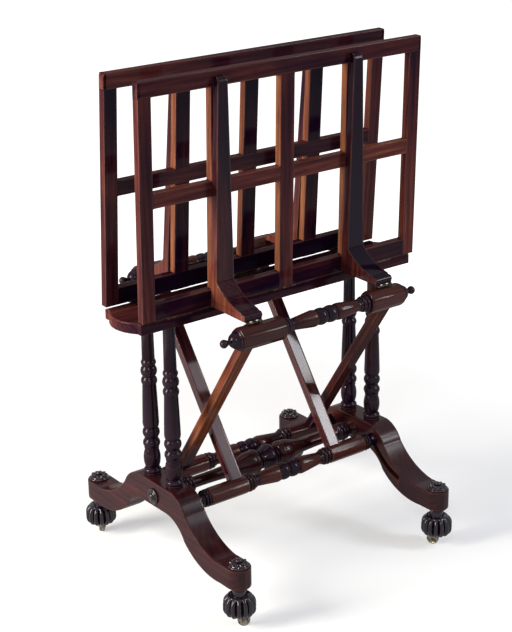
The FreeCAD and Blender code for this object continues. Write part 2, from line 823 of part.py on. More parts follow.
def build_strut_frame(side):
    """The upper bar, the two struts and the lower bar that move as one."""
    far = "back" if side == "front" else "front"
    end = f"dims.{side}_block_end"
    shift = "dims.front_middle_shift" if side == "front" else "0"
    build_bar(f"{side}_upper_bar", side, end, finial_profile(end), True, shift)
    end = "dims.lower_block_end"
    build_bar(f"{far}_lower_bar", side, end, tenon_end_profile(end), False)
    for word, sign in (("left", -1), ("right", 1)):
        build_strut(f"{side}_{word}_strut", side, sign if side == "front" else -sign)


# ---------------------------------------------------------------- feet and castors


def toe_spots():
    """The four toes: name, X sign and Y sign."""
    return [
        (f"{depth}_{across}", -1 if across == "left" else 1, -1 if depth == "front" else 1)
        for across in ("left", "right")
        for depth in ("front", "back")
    ]


def build_foot(name, x_sign, y_sign):
    """A bun foot with a neck ring above and the castor's open socket below."""
    body = new_body(f"{name}_foot")
    low, high = "dims.foot_bottom", "dims.foot_top"
    wide = "dims.foot_radius"
    socket, roof = "dims.socket_radius", "dims.socket_top"
    corners = [
        ("dims.stem_radius", roof),
        (socket, roof),
        (socket, low),
        ("dims.foot_radius * 0.76", low),
        ("dims.foot_radius * 0.5", high, wide, f"({low} + {high}) / 2 - 2"),
        ("11", f"{high} + 4"),
        ("12", "dims.toe_bottom - 8"),
        ("17", "dims.toe_bottom - 6"),
        ("17", "dims.toe_bottom - 3"),
        ("12", "dims.toe_bottom"),
        ("0", "dims.toe_bottom"),
        ("0", f"{roof} + 18"),
        ("dims.stem_radius", f"{roof} + 18"),
    ]
    sketch = sketch_on(body, "XZ_Plane")
    draw_outline(sketch, corners)
    revolve(body, sketch, "V_Axis")
    place(body, x_sign * size("dims.trestle_reach"), y_sign * size("dims.toe_reach"))


def build_paterae():
    """The petalled discs on the toe blocks: a rim, a dish of petals and a button."""
    top = size("dims.toe_top")
    discs = []
    for _, x_sign, y_sign in toe_spots():
        outline = [(0, 0), (21, 0), (21.5, 3), (19, 5), (17, 10), (11, 12), (8, 10.5), (6, 15), (0, 16)]
        points = [Vector(r, 0, z) for r, z in outline]
        disc = Part.Face(Part.makePolygon(points + points[:1])).revolve(Vector(), Vector(0, 0, 1), 360)
        x = x_sign * size("dims.trestle_reach")
        disc.Placement = Placement(Vector(x, y_sign * size("dims.toe_reach"), top), Rotation())
        discs.append(disc)
    shape_group("toe_paterae", discs)


def castor_plate_shape():
    """The round plate in the foot's socket that carries the castor's stem."""
    radius = size("dims.socket_radius") - 4
    low = size("dims.socket_top") - 2
    plate = Part.makeCylinder(radius, 2, Vector(0, 0, low))
    return plate.cut(Part.makeCylinder(size("dims.stem_radius"), 4, Vector(0, 0, low - 1)))


def build_castor_plates():
    """The four castor plates."""
    plates = []
    for _, x_sign, y_sign in toe_spots():
        plate = castor_plate_shape()
        x = x_sign * size("dims.trestle_reach")
        plate.Placement = Placement(Vector(x, y_sign * size("dims.toe_reach"), 0), Rotation())
        plates.append(plate)
    shape_group("castor_plates", plates)


def build_castor(name, x_sign, y_sign):
    """The swivelling horn with its stem and axle, and the wheel between its cheeks."""
    heading = Rotation(Vector(0, 0, 1), CASTOR_HEADINGS[name])
    base = Vector(x_sign * size("dims.trestle_reach"), y_sign * size("dims.toe_reach"), 0)
    horn = new_body(f"{name}_castor_horn")
    stem = sketch_on(horn, "XZ_Plane")
    crown_low = "2 * dims.wheel_radius + 1"
    crown_high = "dims.socket_top - 2.5"
    stem_radius = "dims.stem_radius - dims.running_gap"
    turned = [
        ("0", crown_low),
        ("10", crown_low),
        ("10", f"({crown_low} + {crown_high}) / 2"),
        ("8", crown_high),
        (stem_radius, crown_high),
        (stem_radius, "dims.socket_top + 17"),
        ("0", "dims.socket_top + 17"),
    ]
    draw_outline(stem, turned)
    revolve(horn, stem, "V_Axis")
    cheek_gap = "dims.wheel_width / 2 + 0.4"
    for sign in (-1, 1):
        lift = cheek_gap if sign > 0 else f"0 - ({cheek_gap}) - 2.2"
        cheek = sketch_on(horn, "XZ_Plane", lift)
        trail = "dims.wheel_trail"
        axle = "dims.wheel_radius"
        corners = [
            ("0 - 5", f"{crown_low} + 1"),
            (f"{trail} - 4.5", axle, "0 - 1", f"{axle} + 8"),
            (f"{trail} + 4.5", axle, trail, f"{axle} - 4.5"),
            ("9", f"{crown_low} + 1", f"{trail} + 3.5", f"{axle} + 8"),
        ]
        draw_outline(cheek, corners)
        pad(horn, cheek, "2.2")
    axle = sketch_on(horn, "XZ_Plane", f"0 - ({cheek_gap}) - 1")
    draw_circle(axle, "dims.wheel_trail", "dims.wheel_radius", "dims.axle_radius")
    pad(horn, axle, f"2 * ({cheek_gap}) + 2")
    horn.Placement = Placement(base, heading)
    build_wheel(f"{name}_castor_wheel", base, heading)


def build_wheel(name, base, heading):
    """A castor wheel with a rounded tread and a bore for the axle."""
    wheel = new_body(name)
    half = "dims.wheel_width / 2"
    rim = "dims.wheel_radius"
    bore = "dims.axle_radius + dims.running_gap"
    sketch = sketch_on(wheel, "XY_Plane")
    corners = [
        (bore, f"0 - {half}"),
        (f"{rim} * 0.4", f"0 - {half}"),
        (f"{rim} * 0.5", f"0 - {half} + 1.2"),
        (f"{rim} * 0.72", f"0 - {half} + 1.2"),
        (f"{rim} * 0.85", f"0 - {half} + 0.2"),
        (f"{rim} * 0.95", f"0 - {half} + 0.4"),
        (rim, f"0 - {half} * 0.4"),
        (rim, f"{half} * 0.4"),
        (f"{rim} * 0.95", f"{half} - 0.4"),
        (f"{rim} * 0.85", f"{half} - 0.2"),
        (f"{rim} * 0.72", f"{half} - 1.2"),
        (f"{rim} * 0.5", f"{half} - 1.2"),
        (f"{rim} * 0.4", half),
        (bore, half),
    ]
    draw_outline(sketch, corners)
    revolve(wheel, sketch, "V_Axis")
    offset = Vector(size("dims.wheel_trail"), 0, size("dims.wheel_radius"))
    wheel.Placement = Placement(base + heading.multVec(offset), heading)


# ---------------------------------------------------------------- checks and files


def check_document():
    """Stops where an object failed to build or a sub-part's shape isn't sound."""
    for thing in doc.Objects:
        if "Invalid" in thing.State or "Error" in thing.State:
            raise RuntimeError(f"{thing.Label} failed: {thing.State}")
    for part in sub_parts:
        if part.Shape.isNull() or not part.Shape.isValid() or part.Shape.Volume < 1.0:
            raise RuntimeError(f"{part.Label} has no sound shape")


def write_files():
    """Writes one STEP file for each sub-part."""
    os.makedirs("parts", exist_ok=True)
    for part in sub_parts:
        part.Shape.exportStep(f"parts/{part.Label}.step")


def main():
    """Builds the stand."""
    fill_sheet()
    for word, sign in (("left", -1), ("right", 1)):
        build_trestle(f"{word}_trestle", sign)
        build_column(f"front_{word}_column", sign, -1)
        build_column(f"back_{word}_column", sign, 1)
    build_stretcher()
    build_bosses()
    build_platform()
    build_leaf_hinges()
    for side in SIDES:
        build_leaf_frame(side)
        for word, sign in (("left", -1), ("right", 1)):
            build_arm(f"{side}_{word}_arm", side, sign if side == "front" else -sign)
        build_toe_hinges(side)
        build_strut_frame(side)
    build_paterae()
    build_castor_plates()
    for name, x_sign, y_sign in toe_spots():
        build_foot(name, x_sign, y_sign)
        build_castor(name, x_sign, y_sign)
    doc.recompute()
    check_document()
    write_files()
    print(len(sub_parts), "sub-parts written")


main()
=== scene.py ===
"""Dresses the atlas stand: two open rosewood leaves on a platform, turned columns, shaped trestle ends.

Sizes are in millimetres until a piece is finished, when its mesh is brought to metres in the stand's
own frame: X along the leaves, +Y to the back leaf, Z up from the floor.
"""

import logging
import math
from collections.abc import Callable, Iterable, Sequence
from dataclasses import dataclass, field
from enum import Enum

import bmesh
import bpy
from mathutils import Matrix, Vector


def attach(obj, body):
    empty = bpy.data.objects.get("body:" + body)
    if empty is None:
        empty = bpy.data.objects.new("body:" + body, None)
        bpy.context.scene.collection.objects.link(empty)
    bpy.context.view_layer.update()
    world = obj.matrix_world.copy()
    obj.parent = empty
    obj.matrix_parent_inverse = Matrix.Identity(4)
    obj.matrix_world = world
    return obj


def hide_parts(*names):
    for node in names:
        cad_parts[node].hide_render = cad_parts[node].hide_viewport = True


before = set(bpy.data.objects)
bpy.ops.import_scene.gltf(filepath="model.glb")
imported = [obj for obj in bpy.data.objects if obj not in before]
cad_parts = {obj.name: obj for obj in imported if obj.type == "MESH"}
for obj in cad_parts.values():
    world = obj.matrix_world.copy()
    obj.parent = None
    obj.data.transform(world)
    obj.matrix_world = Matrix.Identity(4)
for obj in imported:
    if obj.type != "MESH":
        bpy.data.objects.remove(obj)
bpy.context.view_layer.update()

MM = 0.001
TINY = 1e-6
STAND = "stand"
SMOOTH_BELOW = math.radians(32)

log = logging.getLogger("atlas_stand")

Colour = tuple[float, float, float]
Corner = tuple[float, ...]
Point = tuple[float, float]
Material = bpy.types.Material
Mesh = bpy.types.Mesh
Object = bpy.types.Object
Ring = list[bmesh.types.BMVert]
Socket = bpy.types.NodeSocket


class Side(Enum):
    """The two long sides of the stand, with the turn about Z that brings a front piece there."""

    FRONT = 0.0
    BACK = 180.0

    @property
    def word(self) -> str:
        """The side's name as the pieces carry it."""
        return self.name.lower()

    @property
    def sign(self) -> int:
        """The side's direction along Y."""
        return -1 if self is Side.FRONT else 1


class Hand(Enum):
    """The two ends of the stand, with their direction along X."""

    LEFT = -1
    RIGHT = 1

    @property
    def word(self) -> str:
        """The end's name as the pieces carry it."""
        return self.name.lower()

    def local(self, side: Side) -> int:
        """The end's direction along X in the side's own turned frame."""
        return self.value if side is Side.FRONT else -self.value


class Slot(Enum):
    """The material slots of the record."""

    ROSEWOOD = "rosewood"
    DARK = "dark_rosewood"
    BRASS = "brass"


class Lap(Enum):
    """What a member keeps of its thickness where it crosses another."""

    OUTER = "the outer half"
    INNER = "the inner half"
    TENON = "a tenon in its middle"


Crossing = tuple[float, float, Lap]


class SideLight(Enum):
    """How much painted side light makes the side faces of a leaf's members paler and more golden."""

    STILE = 0.5
    MUNTIN = 0.95
    RAIL = 0.3


class Tone(Enum):
    """How dark a blank is, warm brown to purple black, partly painted shade; below 0 it is painted side
    light.
    """

    WARM = 0.15
    PLAIN = 0.45
    PURPLE = 0.8
    BLACK = 1.2
    BLACK_AND_SHADE = 1.4


# ---------------------------------------------------------------- nodes


class Bench:
    """Adds nodes to one node tree and joins them."""

    def __init__(self, tree: bpy.types.NodeTree) -> None:
        """Takes the tree to work on."""
        self.tree = tree

    def add(self, kind: str, inputs: dict | None = None, **settings: object) -> bpy.types.Node:
        """Adds one node.

        Args:
            kind: The node's type name.
            inputs: For each input, by name or number, a value or the socket that feeds it.
            **settings: Properties of the node, set before its inputs.

        Returns:
            The node.
        """
        node = self.tree.nodes.new(kind)
        for key, value in settings.items():
            setattr(node, key, value)
        for key, value in (inputs or {}).items():
            if isinstance(value, Socket):
                self.tree.links.new(value, node.inputs[key])
            else:
                node.inputs[key].default_value = value
        return node

    def sum(self, operation: str, *values: object) -> Socket:
        """The result of one arithmetic step, in a shader or a geometry tree."""
        return self.add("ShaderNodeMath", dict(enumerate(values)), operation=operation).outputs[0]

    def blend(self, factor: object, low: Socket | Colour, high: Socket | Colour) -> Socket:
        """A colour between two colours."""
        low, high = ((*side, 1.0) if isinstance(side, tuple) else side for side in (low, high))
        return self.add("ShaderNodeMix", {0: factor, 6: low, 7: high}, data_type="RGBA").outputs[2]

    def ramp(self, factor: Socket, stops: Sequence[tuple[float, Colour]]) -> Socket:
        """A colour from a row of stops.

        Args:
            factor: The place along the row.
            stops: Each stop's place and colour.

        Returns:
            The colour.
        """
        node = self.add("ShaderNodeValToRGB", {0: factor})
        elements = node.color_ramp.elements
        while len(elements) < len(stops):
            elements.new(0.5)
        for element, (place, colour) in zip(elements, stops):
            element.position = place
            element.color = (*colour, 1.0)
        return node.outputs[0]

    def span(self, value: Socket, low: float, high: float, start: float, end: float) -> Socket:
        """A value brought smoothly from one range to another."""
        inputs = {0: value, 1: low, 2: high, 3: start, 4: end}
        return self.add("ShaderNodeMapRange", inputs, interpolation_type="SMOOTHSTEP").outputs[0]

    def noise(self, place: Socket, scale: float, detail: float, **more: float) -> Socket:
        """A noise over a place, with more inputs of the node by name."""
        inputs = {"Vector": place, "Scale": scale, "Detail": detail, **more}
        return self.add("ShaderNodeTexNoise", inputs).outputs["Fac"]

    def bump(self, strength: float, distance: float, height: Socket) -> Socket:
        """A surface's normal, roughened by a height in metres."""
        inputs = {"Strength": strength, "Distance": distance, "Height": height}
        return self.add("ShaderNodeBump", inputs).outputs[0]

    def seen(self) -> Socket:
        """Tells what is seen from what is only lit.

        Returns:
            1 for rays from the camera, in reflections and through glass, and 0 otherwise.
        """
        path = self.add("ShaderNodeLightPath").outputs
        straight = self.sum("MAXIMUM", path["Is Camera Ray"], path["Is Transmission Ray"])
        return self.sum("MAXIMUM", straight, path["Is Glossy Ray"])


def new_material(name: str) -> tuple[Material, Bench]:
    """An empty node material.

    Args:
        name: The material's name.

    Returns:
        The material and the bench for its tree.
    """
    material = bpy.data.materials.new(name)
    material.use_nodes = True
    material.node_tree.nodes.clear()
    return material, Bench(material.node_tree)


# ---------------------------------------------------------------- finishes


@dataclass(frozen=True)
class Layer:
    """One noise of a figure: how fast it changes along and across the grain, per metre, and its detail."""

    along: float
    across: float
    detail: float

    def noise(self, bench: Bench, grain: Socket) -> Socket:
        """Draws the noise out along the grain.

        Args:
            bench: The bench of the material's tree.
            grain: The socket with the grain coordinates.

        Returns:
            The noise's factor.
        """
        stretch = (self.along, self.across, self.across)
        moved = bench.add("ShaderNodeMapping", {"Vector": grain, "Scale": stretch}).outputs[0]
        return bench.noise(moved, 1.0, self.detail, Roughness=0.6, Distortion=0.4)


@dataclass(frozen=True)
class WoodFinish:
    """French-polished rosewood whose figure runs along each blank's own grain.

    The shares say how much the rings, streaks, fine lines, clouds and the blank's tone count in the figure.
    """

    name: str
    ink: Colour = (0.005, 0.0012, 0.0016)
    dark: Colour = (0.036, 0.0066, 0.0096)
    body: Colour = (0.132, 0.031, 0.023)
    light: Colour = (0.34, 0.125, 0.052)
    dark_wood_and_shade: Colour = (0.0082, 0.0025, 0.0110)
    rubbed: Colour = (0.30, 0.125, 0.085)
    honey: Colour = (0.27, 0.125, 0.050)
    bands: float = 44.0
    gloss: float = 0.26
    shine: float = 0.0
    polish: float = 0.1
    glaze: float = 0.09
    wear: float = 0.4
    cloud: Layer = Layer(2.2, 9.0, 3.0)
    streak: Layer = Layer(1.6, 70.0, 5.0)
    fine: Layer = Layer(9.0, 420.0, 2.0)
    pore: Layer = Layer(26.0, 1500.0, 1.0)
    # the tone's negative share lightens the figure on side faces with painted side light and darkens it on
    # pieces with painted shade
    shares: Corner = (0.07, 0.42, 0.2, 0.57, -0.16)
    side_light_gain: float = 2.6
    palest: float = 0.8
    blackest: float = 0.985
    hollow_shade: float = 0.92
    pore_ink: float = 0.8

    def material(self) -> Material:
        """Builds the finish.

        Returns:
            The material, which reads the grain, tone and wear attributes of a blank.
        """
        material, bench = new_material(self.name)
        grain = bench.add("ShaderNodeAttribute", attribute_name="grain").outputs["Vector"]
        tone = bench.add("ShaderNodeAttribute", attribute_name="tone").outputs["Fac"]
        relief = bench.add("ShaderNodeAttribute", attribute_name="wear").outputs["Fac"]
        edge = bench.sum("MAXIMUM", relief, 0.0)
        hollow = bench.sum("MAXIMUM", bench.sum("MULTIPLY", relief, -1.0), 0.0)
        layers = (self.cloud, self.streak, self.fine, self.pore)
        cloud, streak, fine, pore = (layer.noise(bench, grain) for layer in layers)
        figure = self.figure(bench, grain, (streak, fine, cloud, tone))
        colour = self.colour_light_and_shade(bench, figure, tone, cloud)
        rub = bench.sum("MULTIPLY", edge, bench.span(fine, 0.35, 0.62, 0.1, self.wear))
        colour = bench.blend(rub, colour, self.rubbed)
        # painted shade: hollows, as negative wear from turned profiles and the feet's grooves, are darkened
        # towards ink
        colour = bench.blend(bench.sum("MULTIPLY", hollow, self.hollow_shade), colour, self.ink)
        closed = bench.span(pore, 0.36, 0.46, 0.45, 1.0)
        inked = bench.sum("MULTIPLY", bench.sum("SUBTRACT", 1.0, closed), self.pore_ink)
        rough = bench.span(streak, 0.3, 0.7, self.gloss - 0.06, self.gloss + 0.09)
        height = bench.sum("MULTIPLY_ADD", fine, 0.25, closed)
        inputs = {
            "Base Color": bench.blend(inked, colour, self.ink),
            "Roughness": bench.sum("MULTIPLY_ADD", edge, 0.06, rough),
            "Normal": bench.bump(0.12, 0.0004, height),
            "Specular IOR Level": self.shine,
            "Coat Weight": self.polish,
            "Coat Roughness": self.glaze,
        }
        shader = bench.add("ShaderNodeBsdfPrincipled", inputs).outputs[0]
        bench.add("ShaderNodeOutputMaterial", {0: shader})
        return material

    def figure(self, bench: Bench, grain: Socket, layers: Sequence[Socket]) -> Socket:
        """Adds the rings, the other layers and the tone up to the wood's figure.

        Args:
            bench: The bench of the material's tree.
            grain: The socket with the grain coordinates.
            layers: The streaks, the fine lines, the clouds and the tone.

        Returns:
            The figure, from dark to light.
        """
        bent = bench.add("ShaderNodeMapping", {"Vector": grain, "Scale": (0.05, 1.0, 1.0)}).outputs[0]
        wave = {"Vector": bent, "Scale": self.bands, "Distortion": 5.0, "Detail": 2.5, "Detail Scale": 0.3}
        rings = bench.add("ShaderNodeTexWave", wave, bands_direction="DIAGONAL").outputs["Fac"]
        figure = bench.sum("MULTIPLY", rings, self.shares[0])
        for share, layer in zip(self.shares[1:], layers):
            figure = bench.sum("MULTIPLY_ADD", layer, share, figure)
        return figure

    def colour_light_and_shade(self, bench: Bench, figure: Socket, tone: Socket, cloud: Socket) -> Socket:
        """Colours the figure: paler and golden below tone 0 as painted side light, darker purple above it as
        the wood's own dark and painted shade.

        Args:
            bench: The bench of the material's tree.
            figure: The figure, from dark to light.
            tone: The blank's tone.
            cloud: The noise that breaks the purple darkening up.

        Returns:
            The colour.
        """
        stops = [(0.26, self.ink), (0.42, self.dark), (0.62, self.body), (0.9, self.light)]
        fresh = bench.ramp(figure, stops)
        shaded = tuple(0.42 * part for part in self.honey)
        lamp_lit_colour = bench.ramp(figure, [(0.3, self.dark), (0.52, shaded), (0.85, self.honey)])
        # painted side light: a tone below 0 blends towards the paler honey ramp
        below = bench.sum("MAXIMUM", bench.sum("MULTIPLY", tone, -1.0), 0.0)
        side_lit = bench.sum("MINIMUM", bench.sum("MULTIPLY", below, self.side_light_gain), self.palest)
        # a tone above 0 darkens towards purple black: the wood's own dark and painted shade
        dark_wood_and_shade = bench.sum("MULTIPLY", tone, bench.span(cloud, 0.34, 0.68, 0.98, 0.5))
        dark_wood_and_shade = bench.sum("MAXIMUM", bench.sum("MINIMUM", dark_wood_and_shade, self.blackest), 0.0)
        return bench.blend(dark_wood_and_shade, bench.blend(side_lit, fresh, lamp_lit_colour), self.dark_wood_and_shade)


@dataclass(frozen=True)
class BrassFinish:
    """Old lacquered brass, bright and brown in patches of noise."""

    name: str
    bright: Colour = (0.27, 0.24, 0.19)
    brown: Colour = (0.045, 0.036, 0.03)
    gloss: float = 0.3
    dulled: float = 0.28
    stains: float = 130.0
    specks: float = 900.0

    def material(self) -> Material:
        """Builds the finish on Object coordinates.

        Returns:
            The material.
        """
        material, bench = new_material(self.name)
        place = bench.add("ShaderNodeTexCoord").outputs["Object"]
        stain = bench.noise(place, self.stains, 5.0)
        inputs = {
            "Base Color": bench.blend(bench.span(stain, 0.38, 0.64, 0.15, 0.95), self.bright, self.brown),
            "Metallic": 1.0,
            "Roughness": bench.span(stain, 0.3, 0.7, self.gloss, self.gloss + self.dulled),
            "Normal": bench.bump(0.15, 0.0002, bench.noise(place, self.specks, 2.0)),
        }
        shader = bench.add("ShaderNodeBsdfPrincipled", inputs).outputs[0]
        bench.add("ShaderNodeOutputMaterial", {0: shader})
        return material


@dataclass(frozen=True)
class FloorFinish:
    """A plain pale floor that keeps the stand's shadow and reads white to the eye.

    To the eye it gives off some light of its own: near_lift close to the stand and far_lift further out.
    """

    name: str
    paint: Colour = (0.60, 0.61, 0.635)
    mottled: float = 0.985
    near_lift: float = 0.4
    far_lift: float = 1.0
    near: float = 0.7
    far: float = 2.1

    def material(self) -> Material:
        """Builds the finish.

        Returns:
            The material.
        """
        material, bench = new_material(self.name)
        place = bench.add("ShaderNodeTexCoord").outputs["Object"]
        dim = tuple(self.mottled * part for part in self.paint)
        paint = bench.ramp(bench.noise(place, 3.0, 3.0), [(0.3, dim), (0.7, self.paint)])
        matt = bench.add("ShaderNodeBsdfDiffuse", {"Color": paint}).outputs[0]
        away = bench.add("ShaderNodeVectorMath", {0: place}, operation="LENGTH").outputs["Value"]
        lift = bench.span(away, self.near, self.far, self.near_lift, self.far_lift)
        glow = bench.add("ShaderNodeEmission", {"Color": (1, 1, 1, 1), "Strength": lift}).outputs[0]
        both = bench.add("ShaderNodeAddShader", {0: matt, 1: glow}).outputs[0]
        floor = bench.add("ShaderNodeMixShader", {0: bench.seen(), 1: matt, 2: both}).outputs[0]
        bench.add("ShaderNodeOutputMaterial", {0: floor})
        return material


@dataclass
class Palette:
    """The finishes of the stand, each built once."""

    wood: WoodFinish = WoodFinish("polished_rosewood")
    strut: WoodFinish = WoodFinish("glossy_strut_rosewood", gloss=0.22, polish=0.5)
    # painted side light: the front frame's struts get paler, more golden colours
    lamp_lit: WoodFinish = WoodFinish(
        "faded_strut_rosewood",
        dark=(0.050, 0.0105, 0.0075),
        body=(0.150, 0.041, 0.021),
        light=(0.37, 0.155, 0.056),
        polish=0.12,
    )
    board: WoodFinish = WoodFinish(
        "trestle_rosewood",
        dark=(0.020, 0.0038, 0.0040),
        body=(0.054, 0.0122, 0.0092),
        light=(0.15, 0.046, 0.027),
        polish=0.34,
        glaze=0.2,
        wear=0.05,
    )
    arm: WoodFinish = WoodFinish("arm_rosewood", polish=0.18)
    turned: WoodFinish = WoodFinish(
        "turned_rosewood",
        dark=(0.014, 0.0026, 0.0030),
        body=(0.044, 0.0082, 0.0072),
        light=(0.12, 0.03, 0.017),
        bands=48.0,
        gloss=0.2,
        polish=0.24,
        wear=0.2,
    )
    carved: WoodFinish = WoodFinish(
        "carved_dark_rosewood",
        ink=(0.004, 0.0015, 0.002),
        dark=(0.007, 0.0025, 0.003),
        body=(0.011, 0.0040, 0.0046),
        light=(0.024, 0.009, 0.009),
        bands=40.0,
        gloss=0.18,
        polish=0.7,
        wear=0.12,
    )
    brass: BrassFinish = BrassFinish("old_brass")
    bronzed: BrassFinish = BrassFinish("bronzed_hinge_brass", (0.07, 0.048, 0.03), (0.016, 0.011, 0.009))
    made: dict[str, Material] = field(default_factory=dict)

    def get(self, finish: WoodFinish | BrassFinish | FloorFinish) -> Material:
        """Gives the material of a finish, which is built at its first use.

        Args:
            finish: The finish.

        Returns:
            Its material.
        """
        if finish.name not in self.made:
            self.made[finish.name] = finish.material()
        return self.made[finish.name]


# ---------------------------------------------------------------- outlines


def arc(start: Point, middle: Point, end: Point, step: float) -> list[Point]:
    """Points along the arc through three points, without its start.

    Args:
        start: Where the arc begins.
        middle: A point on it.
        end: Where it ends.
        step: The longest chord.

    Returns:
        The points, up to and with the end.
    """
    (ax, ay), (bx, by), (cx, cy) = start, middle, end
    twice = 2.0 * (ax * (by - cy) + bx * (cy - ay) + cx * (ay - by))
    if abs(twice) < TINY:
        return [end]
    sa, sb, sc = ax * ax + ay * ay, bx * bx + by * by, cx * cx + cy * cy
    ux = (sa * (by - cy) + sb * (cy - ay) + sc * (ay - by)) / twice
    uy = (sa * (cx - bx) + sb * (ax - cx) + sc * (bx - ax)) / twice
    radius = math.hypot(ax - ux, ay - uy)
    first, through, last = (math.atan2(y - uy, x - ux) for x, y in (start, middle, end))
    sweep = (last - first) % math.tau
    if (through - first) % math.tau > sweep:
        sweep -= math.tau
    count = max(3, math.ceil(abs(sweep) * radius / step))
    points = [first + sweep * index / count for index in range(1, count + 1)]
    return [(ux + radius * math.cos(turn), uy + radius * math.sin(turn)) for turn in points[:-1]] + [end]


def trace(corners: Sequence[Corner], step: float = 1.5) -> list[Point]:
    """An outline's points from its corners.

    Args:
        corners: Each is (across, up), or (across, up, middle across, middle up) after an arc.
        step: The longest chord of an arc.

    Returns:
        The points in order.
    """
    points: list[Point] = [(corners[0][0], corners[0][1])]
    for corner in corners[1:]:
        end = (corner[0], corner[1])
        points += arc(points[-1], (corner[2], corner[3]), end, step) if len(corner) == 4 else [end]
    return points


def ease(points: Sequence[Point], reach: float) -> list[Point]:
    """Rounds the sharp corners of an open outline a little.

    Args:
        points: The outline.
        reach: How far from a corner the rounding may start.

    Returns:
        The outline with each sharp corner as three points.
    """
    sharp, most = 0.38, 0.4
    eased: list[Point] = [points[0]]
    for last, point, following in zip(points, points[1:], points[2:]):
        here = Vector(point)
        before, after = Vector(last) - here, Vector(following) - here
        if before.length < TINY or after.length < TINY or math.pi - before.angle(after) < sharp:
            eased.append(point)
            continue
        start = here + before.normalized() * min(reach, before.length * most)
        end = here + after.normalized() * min(reach, after.length * most)
        middle = (start + end) / 4 + here / 2
        eased += [tuple(start), tuple(middle), tuple(end)]
    return [*eased, points[-1]]


def sized(corners: Sequence[Corner], along: float, across: float, shift: float = 0.0) -> list[Corner]:
    """Brings an outline's corners from shares to sizes.

    Args:
        corners: The corners, as trace takes them.
        along: What the places along are multiplied by.
        across: What the places across are multiplied by.
        shift: How far the result is moved along.

    Returns:
        The corners in millimetres.
    """
    return [
        tuple(value * across if index % 2 else value * along + shift for index, value in enumerate(corner))
        for corner in corners
    ]


def mirror(half: Sequence[Corner]) -> list[Corner]:
    """Mirrors one half of an outline.

    Args:
        half: The corners of the right half, from its middle out.

    Returns:
        The corners of the left half, from its end in.
    """
    left: list[Corner] = []
    for index in range(len(half) - 1, -1, -1):
        following = half[index + 1] if index + 1 < len(half) else ()
        middle = (-following[2], following[3]) if len(following) == 4 else ()
        left.append((-half[index][0], half[index][1], *middle))
    return left


def height_at(line: Sequence[Point], place: float) -> float:
    """Finds the height of a line over one place.

    Args:
        line: The line's points, from left to right.
        place: The place across.

    Returns:
        The height between the line's points, or at its nearer end.
    """
    for (x0, y0), (x1, y1) in zip(line, line[1:]):
        if x0 <= place <= x1:
            return y0 if x1 - x0 < TINY else y0 + (y1 - y0) * (place - x0) / (x1 - x0)
    return line[-1][1] if place > line[-1][0] else line[0][1]


def placed(x: float = 0.0, y: float = 0.0, z: float = 0.0, turn: float = 0.0, lean: float = 0.0) -> Matrix:
    """A frame moved, turned about Z and leaned about X, in millimetres and degrees."""
    turned = Matrix.Rotation(math.radians(turn), 4, "Z") @ Matrix.Rotation(math.radians(lean), 4, "X")
    return Matrix.Translation((x, y, z)) @ turned


ALONG_X = Matrix(((0, 0, 1, 0), (0, 1, 0, 0), (-1, 0, 0, 0), (0, 0, 0, 1)))
ALONG_Y = Matrix(((1, 0, 0, 0), (0, 0, 1, 0), (0, -1, 0, 0), (0, 0, 0, 1)))
TURNED_X = Matrix(((0, 0, 1, 0), (1, 0, 0, 0), (0, 1, 0, 0), (0, 0, 0, 1)))


# ---------------------------------------------------------------- blanks


@dataclass
class Cut:
    """One rectangular section of a stick: its place along the stick, its edges and its rounding."""

    at: float
    left: float
    right: float
    low: float
    high: float
    corner: float = 1.2


